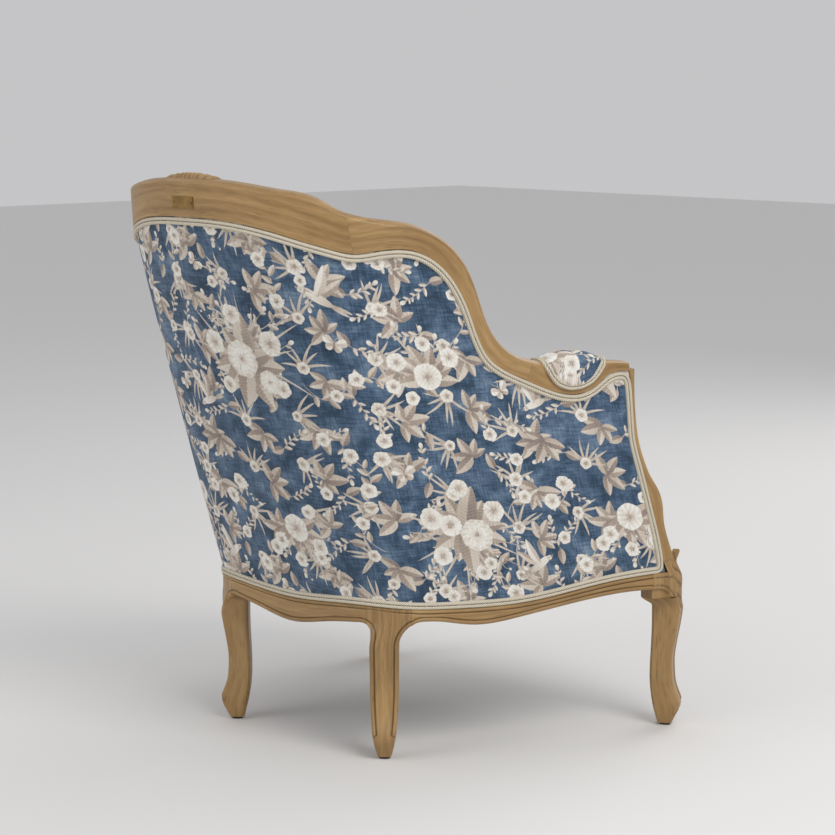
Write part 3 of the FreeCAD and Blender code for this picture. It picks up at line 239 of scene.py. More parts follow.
low_fall = shoulder_low_z - (arm_low_z + 29)
top_fall = shoulder_top_z - arm_top_z
STATIONS = [
    (0.000, 0.000, crest_low_z, 0.000, crest_top_z),
    (0.080, 0.080, crest_low_z - 1, 0.080, crest_top_z - 1),
    (0.160, 0.160, crest_low_z - 7, 0.160, crest_top_z - 6),
    (0.230, 0.230, crest_low_z - 18, 0.235, crest_top_z - 13),
    (0.285, 0.285, crest_low_z - 31, 0.295, crest_top_z - 19),
    (0.335, 0.335, shoulder_low_z + 3, 0.345, crest_top_z - 31),
    (0.385, 0.385, shoulder_low_z - 6, 0.390, shoulder_top_z + 17),
    (0.435, 0.435, shoulder_low_z - 2, 0.445, shoulder_top_z + 6),
    (0.485, 0.487, shoulder_low_z, 0.500, shoulder_top_z),
    (0.525, 0.530, shoulder_low_z - 9, 0.552, shoulder_top_z - 12),
    (0.562, 0.568, shoulder_low_z - 0.16 * low_fall, 0.603, shoulder_top_z - 0.17 * top_fall),
    (0.588, 0.593, shoulder_low_z - 0.36 * low_fall, 0.631, shoulder_top_z - 0.37 * top_fall),
    (0.610, 0.603, shoulder_low_z - 0.57 * low_fall, 0.641, shoulder_top_z - 0.61 * top_fall),
    (0.634, 0.617, shoulder_low_z - 0.77 * low_fall, 0.656, shoulder_top_z - 0.785 * top_fall),
    (0.664, 0.650, shoulder_low_z - 0.90 * low_fall, 0.687, shoulder_top_z - 0.91 * top_fall),
    (0.702, 0.700, arm_low_z + 29, 0.725, arm_top_z + 9),
    (0.750, 0.750, arm_low_z + 9, 0.760, arm_top_z + 3),
    (0.800, 0.800, arm_low_z, 0.802, arm_top_z + 1),
    (0.848, 0.848, arm_low_z + 9, 0.850, arm_top_z),
    (0.893, 0.893, arm_front_low_z - 4, 0.895, arm_top_z - 2),
    (0.930, 0.930, arm_front_low_z + 1, 0.932, arm_top_z - 4),
    (0.966, 0.962, arm_front_low_z, 0.966, arm_top_z - 6)]
CREST_END, SHOULDER_END, LAST = 6, 15, len(STATIONS) - 1
station_row = curve_through(*both_sides(
    [(place,) + row for place, row in enumerate(STATIONS)], (0, 1, 2, 4)))


class Ribs:
    """Section planes at places t along the stations, each with its foot, head and directions."""

    def __init__(self, t):
        self.t = np.atleast_1d(np.asarray(t, float))
        self.side = np.where(self.t < 0, -1.0, 1.0)
        row = station_row(np.abs(self.t))
        self.u_foot, self.u_head = row[:, 0], row[:, 1]
        self.out = outward(0.5, (row[:, 0] + row[:, 1]) / 2)
        self.foot = shell(row[:, 0], seat_line(row[:, 0])[:, 0])
        self.head = shell(row[:, 1], row[:, 2])
        raked_top = shell(row[:, 3], row[:, 4])
        lean = ((raked_top - self.head) * self.out).sum(1, keepdims=True)
        top = raked_top - self.out * 0.75 * lean
        self.up = unit(self.head - self.foot)
        self.length = np.linalg.norm(self.head - self.foot, axis=1)
        self.wood_up = unit(top - self.head)
        self.tongue_up = unit(raked_top - self.head)
        self.wood_h = np.linalg.norm(top - self.head, axis=1)

    def put(self, origin, along, rise, depth):
        point = origin + along * np.reshape(rise, (-1, 1)) + self.out * np.reshape(depth, (-1, 1))
        return point * np.column_stack([self.side, np.ones(len(point)), np.ones(len(point))])

    def wood(self, rise, depth):
        rise = np.broadcast_to(rise, self.t.shape)
        along = np.where((rise >= 0)[:, None], self.wood_up, self.tongue_up)
        return self.put(self.head, along, rise, depth)

    def from_foot(self, rise, depth):
        return self.put(self.foot, self.up, rise, depth)

    def from_head(self, drop, depth):
        return self.put(self.head, -self.up, drop, depth)

    def at_height(self, z, depth):
        return self.from_foot((z - self.foot[:, 2]) / self.up[:, 2], depth)


def travel(points):
    """Distance covered along a row of points."""
    return np.concatenate([[0], np.cumsum(np.linalg.norm(np.diff(points, axis=0), axis=1))])


def skin(name, rings, loop=True, caps=True, **extra):
    """Mesh over rings of points in millimetres, (rings, points, 3), with point attributes."""
    rings = np.asarray(rings, float)
    rows, cols = rings.shape[:2]
    corner = np.arange(rows * cols).reshape(rows, cols)
    across = np.roll(corner, -1, axis=1) if loop else corner[:, 1:]
    near = corner if loop else corner[:, :-1]
    quads = np.stack([near[:-1], across[:-1], across[1:], near[1:]], -1).reshape(-1, 4)
    points = (rings.reshape(-1, 3) - (0, middle_y, 0)) / 1000
    mesh = bpy.data.meshes.new(name)
    ends = [corner[0, ::-1], corner[-1]] if loop and caps else []
    ends = ends[1:] if caps == "last" else ends
    sides = len(quads) * 4
    total = sides + sum(len(end) for end in ends)
    mesh.vertices.add(len(points))
    mesh.vertices.foreach_set("co", points.ravel())
    mesh.loops.add(total)
    mesh.loops.foreach_set("vertex_index", np.concatenate([quads.ravel(), *ends]).astype(np.int32))
    mesh.polygons.add(len(quads) + len(ends))
    starts = list(np.arange(len(quads)) * 4) + [sides + cols * k for k in range(len(ends))]
    mesh.polygons.foreach_set("loop_start", np.array(starts, np.int32))
    mesh.update(calc_edges=True)
    for key, values in extra.items():
        values = np.asarray(values, np.float32)
        kind, field = ("FLOAT_VECTOR", "vector") if values.ndim > rings.ndim - 1 else ("FLOAT", "value")
        mesh.attributes.new(key, kind, "POINT").data.foreach_set(field, values.ravel())
    mesh.shade_smooth()
    mesh.set_sharp_from_angle(angle=math.radians(38))
    made = bpy.data.objects.new(name, mesh)
    scene.collection.objects.link(made)
    return made


def face_out(made):
    """Turns the faces outwards."""
    work = bmesh.new()
    work.from_mesh(made.data)
    bmesh.ops.recalc_face_normals(work, faces=work.faces)
    work.to_mesh(made.data)
    work.free()
    made.data.set_sharp_from_angle(angle=math.radians(38))
    return made


def joined(name, parts):
    """One object from several, which keep their meshes and attributes."""
    with bpy.context.temp_override(active_object=parts[0], selected_editable_objects=parts,
                                   selected_objects=parts, object=parts[0]):
        bpy.ops.object.join()
    parts[0].name = name
    parts[0].data.name = name
    return parts[0]


def fitted(made, material, slot, body, *nodes_replaced):
    """Gives a piece its finish, and its place on the body in place of the CAD nodes."""
    made.data.materials.clear()
    made.data.materials.append(material)
    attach(made, body)
    if nodes_replaced:
        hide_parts(*nodes_replaced)
    return made


class Finish:
    """A node material under construction."""

    def __init__(self, name, roughness=0.6, **constants):
        self.made = bpy.data.materials.new(name)
        self.made.use_nodes = True
        self.tree = self.made.node_tree
        self.shader = self.tree.nodes["Principled BSDF"]
        self.shader.inputs["Roughness"].default_value = roughness
        for socket, value in constants.items():
            self.shader.inputs[socket.replace("_", " ")].default_value = value

    def put(self, kind, outlet=0, settings=(), **inlets):
        node = self.tree.nodes.new("ShaderNode" + kind)
        for key, value in dict(settings).items():
            setattr(node, key, value)
        for key, value in inlets.items():
            socket = node.inputs[int(key[1:])] if key[1:].isdigit() else node.inputs[key.replace("_", " ")]
            self.set(socket, value)
        return node.outputs[outlet]

    def set(self, socket, value):
        if isinstance(value, bpy.types.NodeSocket):
            self.tree.links.new(value, socket)
        else:
            socket.default_value = value

    def math(self, operation, a, b=0.0, clamp=False):
        return self.put("Math", settings={"operation": operation, "use_clamp": clamp}, _0=a, _1=b)

    def field(self, name, outlet=2):
        return self.put("Attribute", outlet, {"attribute_name": name})

    def stretch(self, vector, scale, move=(0, 0, 0)):
        return self.put("Mapping", Vector=vector, Scale=scale, Location=move)

    def noise(self, vector, scale, detail=2.0, roughness=0.5, distortion=0.0):
        return self.put("TexNoise", Vector=vector, Scale=scale, Detail=detail, Roughness=roughness,
                        Distortion=distortion)

    def between(self, value, low, high, to_low=0.0, to_high=1.0):
        return self.put("MapRange", settings={"clamp": True}, Value=value, From_Min=low,
                        From_Max=high, To_Min=to_low, To_Max=to_high)

    def mix(self, share, a, b, blend="MIX"):
        return self.put("Mix", 2, {"data_type": "RGBA", "blend_type": blend}, _0=share, _6=a, _7=b)

    def bump(self, height, strength, distance):
        normal = self.put("Bump", Height=height, Strength=strength, Distance=distance)
        self.set(self.shader.inputs["Normal"], normal)

    def colour(self, value):
        self.set(self.shader.inputs["Base Color"], value)
        return self.made


def rgb(red, green, blue):
    """Linear colour from the 0 to 255 values that a screen shows."""
    values = [(c / 255 / 12.92) if c <= 10 else ((c / 255 + 0.055) / 1.055) ** 2.4
              for c in (red, green, blue)]
    return (*values, 1.0)


def oak_finish(name, light, dark, gloss=0.42):
    """Waxed wood: growth bands and fine pores along the grain, and painted shade in the grooves."""
    f = Finish(name, Coat_Weight=0.12, Coat_Roughness=0.35)
    grain = f.field("grain", 1)
    warp = f.put("TexNoise", 1, Vector=f.stretch(grain, (2.2, 9.0, 9.0)), Scale=1.0, Detail=2.0)
    bent = f.put("VectorMath", settings={"operation": "MULTIPLY_ADD"}, _0=warp,
                 _1=(0.02, 0.022, 0.022), _2=grain)
    bands = f.noise(f.stretch(bent, (2.6, 80.0, 80.0)), 1.0, 3.0, 0.6)
    rings = f.put("TexWave", settings={"bands_direction": "Y"}, Vector=f.stretch(bent, (0.9, 1.0, 0.6)),
                  Scale=22.0, Distortion=5.0, Detail=2.0, Detail_Scale=1.2)
    fibres = f.noise(f.stretch(grain, (22.0, 900.0, 900.0)), 1.0, 2.0, 0.6)
    pores = f.between(f.noise(f.stretch(grain, (34.0, 620.0, 620.0)), 1.0, 1.0), 0.60, 0.72)
    patches = f.noise(grain, 7.0, 2.0)
    tone = f.math("ADD", f.math("MULTIPLY", bands, 0.88), f.math("MULTIPLY", rings, 0.10))
    tone = f.math("ADD", tone, f.math("MULTIPLY", f.math("SUBTRACT", patches, 0.5), 0.55))
    tone = f.math("ADD", tone, f.math("MULTIPLY", f.math("SUBTRACT", fibres, 0.5), 0.38))
    wood = f.mix(f.between(tone, 0.28, 0.78), dark, light)
    wood = f.mix(f.math("MULTIPLY", pores, 0.42), wood, tuple(c * 0.42 for c in dark[:3]) + (1,))
    # Painted shade: the wood is darkened towards a deep brown in the grooves marked by the mask.
    wood = f.mix(f.math("MULTIPLY", f.field("groove"), 0.75), wood,
                 tuple(c * 0.30 for c in dark[:3]) + (1,))
    f.set(f.shader.inputs["Roughness"], f.between(fibres, 0.3, 0.8, gloss - 0.06, gloss + 0.14))
    height = f.math("SUBTRACT", f.math("MULTIPLY", fibres, 0.4), pores)
    f.bump(height, 0.35, 0.0004)
    return f.colour(wood)


oak = oak_finish("waxed_oak", rgb(178, 143, 92), rgb(134, 102, 58))


def rounded(points, radius, steps=3):
    """Closed outline with its corners rounded. Points are (a, b) or (a, b, own radius)."""
    flat = np.array([p[:2] for p in points], float)
    out = []
    for i, point in enumerate(points):
        r = point[2] if len(point) > 2 else radius
        here, before, after = flat[i], flat[i - 1], flat[(i + 1) % len(flat)]
        start = here + (before - here) * min(0.45, r / max(np.linalg.norm(before - here), 1e-6))
        end = here + (after - here) * min(0.45, r / max(np.linalg.norm(after - here), 1e-6))
        for step in range(steps + 1):
            s = step / steps
            out.append(start * (1 - s) ** 2 + here * 2 * s * (1 - s) + end * s * s)
    return np.array(out)


wood_proud, show_t, tongue_h = 3.0, 47.0, 24.0
frame_d, frame_inner_d = 8.1, 36.1


def bead(center_a, center_b, radius, start, end, steps=6):
    """Points of a round moulding, from one angle to another in degrees."""
    return [(center_a + radius * math.cos(math.radians(g)),
             center_b + radius * math.sin(math.radians(g)), 0.0)
            for g in np.linspace(start, end, steps)]


def show_outline(h):
    """Section of the crest, shoulders and arms: (rise, depth), plain behind, moulded in front."""
    k = min(1.0, h / 44)
    face = wood_proud - show_t
    back = [(0, wood_proud, 1.2), (h - 8 * k, wood_proud, 1.5), (h - 2.5 * k, -2.5, 4 * k),
            (h, -11, 5 * k), (h, face + 14, 4 * k), (h - 2.2 * k, face + 8.5, 0.4)]
    upper = bead(h - 7.5 * k, face + 5.2, 5.4 * k, 60, -75)
    cove = [(h - 10 * k, face + 2.8, 0.4), (h - 16 * k, face + 2.2, 3 * k), (0.5 * h, face + 5, 6 * k),
            (13 * k, face + 2.4, 3 * k), (9.6 * k, face + 3.2, 0.4)]
    lower = bead(5.0 * k, face + 2.4, 4.4 * k, -10 - 60, -180 - 20)
    below = [(0, face + 7, 0.6), (0, -frame_inner_d, 0.3), (-tongue_h, -frame_inner_d, 0.3),
             (-tongue_h, -frame_d, 0.3), (0, -frame_d, 0.3)]
    return rounded(back + upper + cove + lower + below, 1.0)


def show_wood(name, first, last, step=0.1):
    """A run of show-wood between two stations."""
    ribs = Ribs(np.linspace(first, last, int(round(abs(last - first) / step)) + 1))
    rings = []
    outlines = [show_outline(h) for h in ribs.wood_h]
    outline = np.array(outlines)
    for k in range(outline.shape[1]):
        rings.append(ribs.wood(outline[:, k, 0], outline[:, k, 1]))
    rings = np.stack(rings, 1)
    along = travel(ribs.wood(10, 0)) / 1000
    grain = np.stack([np.broadcast_to(along[:, None], outline.shape[:2]) + 0.37 * first,
                      outline[:, :, 0] / 1000 + 0.11 * last, outline[:, :, 1] / 1000], -1)
    depth_in = outline[:, :, 1] - (wood_proud - show_t)
    k = np.minimum(1.0, ribs.wood_h / 44)[:, None]
    rise = outline[:, :, 0]
    lines = np.minimum(np.abs(rise - ribs.wood_h[:, None] + 12.5 * k), np.abs(rise - 10.5 * k))
    # Painted shade: this mask darkens the wood along the grooves beside the beads.
    groove = np.clip(1 - lines / 2.2, 0, 1) * (depth_in < 6)
    return face_out(skin(name, rings, grain=grain, groove=groove))


def smooth_rise(value, low, high):
    s = np.clip((value - low) / (high - low), 0, 1)
    return s * s * (3 - 2 * s)


def crest_carving():
    """Shell in the middle and a lobed leaf to each side, standing up from the crest."""
    share = np.linspace(-1, 1, 241)
    ribs = Ribs(share * 62.0 / (shoulder_half * 0.326) * 1.5)
    far = np.abs(share)
    shell_edge = 0.26
    lobes = np.where(far < shell_edge, np.abs(np.cos(far / shell_edge * math.pi * 1.5)),
                     np.abs(np.cos((far - shell_edge) * 11.0)))
    rise = 8.8 * (0.35 + 0.65 * np.cos(share * math.pi / 2)) * (0.62 + 0.38 * lobes ** 0.6)
    rise = rise * smooth_rise(1 - far, 0.0, 0.10)
    h, inner = ribs.wood_h, wood_proud - show_t
    section = [(-6.0, -8.0, 0.0), (-2.0, -9.5, 0.6), (-1.2, -12.5, 0.95), (0.0, -17.0, 1.0),
               (-1.4, -21.0, 0.86), (0.0, -25.5, 1.0), (-1.0, inner + 14.0, 0.95),
               (-2.5, inner + 9.5, 0.6), (-8.0, inner + 7.0, 0.0)]
    rings = np.stack([ribs.wood(h + low + rise * part, depth) for low, depth, part in section], 1)
    # Painted shade: the wood is darkened between the lobes of the carving.
    groove = np.broadcast_to((1 - lobes ** 0.5)[:, None], rings.shape[:2])
    grain = np.stack([rings[..., 0], rings[..., 2], rings[..., 1]], -1) / 1000
    return face_out(skin("carving", rings, grain=grain, groove=groove))


fitted(joined("crest_rail_oak", [show_wood("crest", -CREST_END, CREST_END), crest_carving()]), oak,
       "oak_show_wood", "frame", "crest_rail")

# The shoulders sweep from the crest rail down to the arms, and the arm rails run on from them.
# Each is oak, joined to its neighbour with a dowel at a fine visible joint line.
for side, sign in (("right", 1), ("left", -1)):
    fitted(show_wood("shoulder_oak_" + side, sign * (CREST_END + 0.004), sign * (SHOULDER_END - 0.004)),
           oak, "oak_show_wood", "frame", "shoulder_" + side)
    fitted(show_wood("arm_rail_oak_" + side, sign * SHOULDER_END, sign * LAST),
           oak, "oak_show_wood", "frame", "arm_rail_" + side)

# The arm posts rise from the front legs to the arms in a long S. They are oak, moulded on the
# front with a bead at each edge, and glued and dowelled at both ends.
POST_ROWS = np.array([
    (300.3, 1.016, 0.957), (318.0, 1.008, 0.958), (345.0, 0.997, 0.958), (372.0, 0.995, 0.955),
    (398.0, 1.003, 0.952), (425.0, 0.996, 0.949), (448.0, 0.974, 0.946), (481.0, 0.957, 0.941),
    (517.0, 0.951, 0.938), (552.0, 0.955, 0.945), (587.0, 0.964, 0.954), (635.7, 0.983, 0.962)])
post_edges = curve_through(POST_ROWS[:, 0], POST_ROWS[:, 1:])
post_out = outward(0.3, 0.96)


def post_frame(z):
    """Front edge, level direction to the front, and distance back to the cover, at heights z."""
    edges = post_edges(z)
    front = shell(edges[:, 0], z)
    cover = shell(edges[:, 1], z)
    ahead = unit(shell(edges[:, 0] + 0.01, z) - shell(edges[:, 0] - 0.01, z))
    return front, ahead, ((front - cover) * ahead).sum(1)


def post_outline(reach):
    """Section of a post: (ahead of its front edge, depth)."""
    outer = [(-reach - 0.4, wood_proud, 0.3), (-1.2, wood_proud, 2.0)]
    outer += bead(-3.6, -1.6, 4.3, 62, -62)
    outer += [(-3.4, -8.0, 1.5), (-5.2, -20.0, 4.0), (-3.4, -33.0, 1.5)]
    outer += bead(-3.6, -39.2, 4.3, 62, -75)
    return rounded(outer + [(-8.0, wood_proud - show_t, 2.0), (-reach - 10, wood_proud - show_t, 1.0),
                            (-reach - 10, -frame_d, 0.3), (-reach - 0.4, -frame_d, 0.3)], 1.0)


def arm_post(name, sign):
    z = np.linspace(300.3, 640.0, 120)
    front, ahead, reach = post_frame(z)
    outline = np.array([post_outline(r) for r in reach])
    rings = (front[:, None] + ahead[:, None] * outline[:, :, :1]
             + post_out[:, None] * outline[:, :, 1:]) * (sign, 1, 1)
    grain = np.stack([np.broadcast_to(z[:, None] / 1000, outline.shape[:2]) + 0.3 * sign,
                      outline[:, :, 0] / 1000, outline[:, :, 1] / 1000], -1)
    # Painted shade: the wood is darkened along the grooves beside the two beads.
    groove_outs, groove_half = (7.2, 33.6), 2.2
    near_groove = np.minimum(np.abs(outline[:, :, 1] + groove_outs[0]),
                             np.abs(outline[:, :, 1] + groove_outs[1]))
    groove = np.clip(1 - near_groove / groove_half, 0, 1) * (outline[:, :, 0] > -7)
    return face_out(skin(name, rings, grain=grain, groove=groove))


for side, sign in (("right", 1), ("left", -1)):
    fitted(arm_post("arm_post_oak_" + side, sign), oak, "oak_show_wood", "frame", "arm_post_" + side)

# The seat rails are oak too. Their aprons have a bead under the cover, a flat band, and a bead
# along the lower edge that runs on down the edges of the legs.
apron_proud, rail_inner_d, block_top_z = 7.0, 36.5, 300.0
REAR_LEG_U, FRONT_LEG_U = 0.285, 0.900
rear_block_ends, rear_fillet_z, front_fillet_z = (0.230, 0.340), 204.0, 220.0
leg_half = 24.5
plan_u = np.linspace(0, 1.0, 2001)
plan_length = travel(base_plan(plan_u))


def plan_distance(u):
    return np.interp(np.abs(u), plan_u, plan_length)


def rail_point(u, z, depth):
    u = np.atleast_1d(u).astype(float)
    level = base_plan(u) + outward(0, u)[:, :2] * np.reshape(depth, (-1, 1))
    return np.column_stack([level, np.broadcast_to(z, len(level))])


def under_fillet(low, away, start_z):
    """Lower edge where it turns down into a leg; away is the distance from the leg's middle."""
    radius = np.maximum(low - start_z, 6.0)
    inside = np.clip(radius ** 2 - (away - leg_half - radius) ** 2, 0, None)
    return np.where(away < leg_half + radius, start_z + np.sqrt(inside), low)


APRON_TOP = [(0, 3.6), (0.4, 5.4), (1.6, 6.8), (3.2, 7.3), (4.8, 6.9), (5.9, 5.6), (6.5, 4.3), (7.1, 4.3),
             (7.7, 5.4), (9.0, 6.1), (12.0, 5.9)]
APRON_LOW = [(12.0, 5.7), (9.8, 6.0), (8.7, 5.4), (8.1, 4.2), (7.4, 4.2), (6.8, 5.5), (5.6, 6.9),
             (4.0, 7.4), (2.3, 7.0), (1.0, 5.9), (0.2, 4.2), (0.0, 2.5)]


def apron_rings(line, top, low, inner):
    """Rings of a rail. line(z, depth) gives points; top and low are heights along the rail."""
    rings = [line(top - t, d) for t, d in APRON_TOP]
    rings += [line(low + b, d) for b, d in APRON_LOW]
    rings += [line(low, -12), line(low, -inner + 1), line(low + 1, -inner),
              line(np.full_like(low, block_top_z), -inner),
              line(np.full_like(low, block_top_z), -frame_d),
              line(top, -frame_d)]
    return np.stack(rings, 1)


def apron(name, rings, along):
    offsets = np.array([t for t, _ in APRON_TOP] + [60 - b for b, _ in APRON_LOW]
                       + [60, 60, 61, 90, 95, 99])
    depths = np.array([d for _, d in APRON_TOP] + [d for _, d in APRON_LOW]
                      + [-12, -36, -37, -37, -8, -8])
    shape = rings.shape[:2]
    grain = np.stack([np.broadcast_to(along[:, None] / 1000, shape),
                      np.broadcast_to(offsets / 1000, shape), np.broadcast_to(depths / 1000, shape)], -1)
    # Painted shade: the wood is darkened on the floors of the grooves.
    groove = np.broadcast_to(((depths == 4.3) | (depths == 4.2)) * 1.0, shape)
    return face_out(skin(name, rings, grain=grain, groove=groove))


u_rear = np.linspace(-rear_block_ends[0] + 0.0006, rear_block_ends[0] - 0.0006, 121)
rear_low = under_fillet(apron_line(u_rear)[:, 0], plan_distance(REAR_LEG_U) - plan_distance(u_rear),
                        rear_fillet_z)
fitted(apron("rear_seat_rail_oak",
             apron_rings(lambda z, d: rail_point(u_rear, z, d), seat_line(u_rear)[:, 0], rear_low,
                         rail_inner_d),
             np.sign(u_rear) * plan_distance(u_rear)),
       oak, "oak_show_wood", "frame", "rear_seat_rail")

front_rail_y, front_bow, front_drop = seat_front_y - 31, 22.0, 16.0
leg_block_x = seat_half_front - 59
front_foot = np.array((-(seat_half_front - 28), front_rail_y + 19))
rear_foot = np.array((-(seat_half_rear - 43), seat_rear_y - 30))
rear_facing = np.array((-math.sin(math.radians(45)), math.cos(math.radians(45))))
front_facing = np.array((-math.cos(math.radians(33)), -math.sin(math.radians(33))))
corner_points = np.vstack([
    rail_point([0.90, 0.915, 0.93, 0.945, 0.958], 0, apron_proud - 1)[:, :2],
    [(5.5 - seat_half_front, front_rail_y + 16), (15 - seat_half_front, front_rail_y + 7.2),
     (30 - seat_half_front, front_rail_y + 2.0), (44 - seat_half_front, front_rail_y + 1.0),
     (-leg_block_x, front_rail_y + 1.0)]])
corner_length = travel(corner_points)
corner_curve = curve_through(corner_length, corner_points)
fine = np.linspace(0, corner_length[-1], 800)
corner_zero = fine[np.argmax(((corner_curve(fine) - front_foot) * front_facing).sum(1))]

for side, sign in (("right", 1), ("left", -1)):
    u_side = np.linspace(rear_block_ends[1] + 0.0006, FRONT_LEG_U - 0.0004, 200)
    side_low = under_fillet(apron_line(u_side)[:, 0], plan_distance(u_side) - plan_distance(REAR_LEG_U),
                            rear_fillet_z)
    side_low = np.minimum(side_low, under_fillet(
        apron_line(u_side)[:, 0], plan_distance(FRONT_LEG_U) - plan_distance(u_side) + corner_zero,
        front_fillet_z))
    rings = apron_rings(lambda z, d: rail_point(u_side, z, d), seat_line(u_side)[:, 0], side_low,
                        rail_inner_d) * (sign, 1, 1)
    fitted(apron("side_seat_rail_oak_" + side, rings, sign * plan_distance(u_side)),
           oak, "oak_show_wood", "frame", "side_seat_rail_" + side)


def front_face_y(x):
    return front_rail_y - front_bow * np.cos(math.pi * x / (2 * leg_block_x)) ** 2


x_front = np.linspace(-leg_block_x + 0.2, leg_block_x - 0.2, 160)
front_low = apron_front_z - front_drop * np.cos(math.pi * x_front / (2 * leg_block_x)) ** 4
front_low = under_fillet(front_low, leg_block_x - np.abs(x_front) + corner_length[-1] - corner_zero,
                         front_fillet_z)
front_run = np.column_stack([x_front, front_face_y(x_front)])
front_normal = np.gradient(front_run, axis=0)
front_normal = unit(np.column_stack([front_normal[:, 1], -front_normal[:, 0]]))


def front_line(z, depth):
    level = front_run + front_normal * (depth - apron_proud)
    return np.column_stack([level, np.broadcast_to(z, len(level))])


fitted(apron("front_seat_rail_oak",
             apron_rings(front_line, np.full_like(front_low, seat_top_front_z + 4), front_low,
                         rail_inner_d),
             x_front),
       oak, "oak_show_wood", "frame", "front_seat_rail")

# The four cabriole legs are each cut from one oak blank with the corner block above. Grooves
# mark off a bead along both edges of the outer face, and the front knees carry a carved leaf.
# The grooves and the hollows of the leaf are also darkened with painted shade.
LEG_ROWS = np.array([
    (4.0, 8.5, -16.5, 11.0), (14.0, 13.5, -18.5, 14.3), (30.0, 21.0, -22.5, 17.5),
    (44.0, 22.0, -25.0, 20.0), (58.0, 17.0, -27.0, 21.3), (74.0, 11.5, -28.5, 22.5),
    (95.0, 9.0, -29.0, 23.5), (115.0, 8.5, -28.5, 24.0), (150.0, 13.0, -27.0, 24.2),
    (183.0, 19.0, -26.0, 24.5), (208.0, 22.0, -26.0, 24.5), (240.0, 21.0, -26.0, 24.5)])
leg_sizes = curve_through(LEG_ROWS[:, 0], LEG_ROWS[:, 1:])
columns = 73


def to_line(x, z, points):
    """Distance from places (x, z) on a leg's face to a line of points."""
    best = np.full(np.shape(x), 99.0)
    for (ax, az), (bx, bz) in zip(points, points[1:]):
        run = np.array((bx - ax, bz - az), float)
        s = np.clip(((x - ax) * run[0] + (z - az) * run[1]) / (run @ run), 0, 1)
        best = np.minimum(best, np.hypot(x - ax - s * run[0], z - az - s * run[1]))
    return best


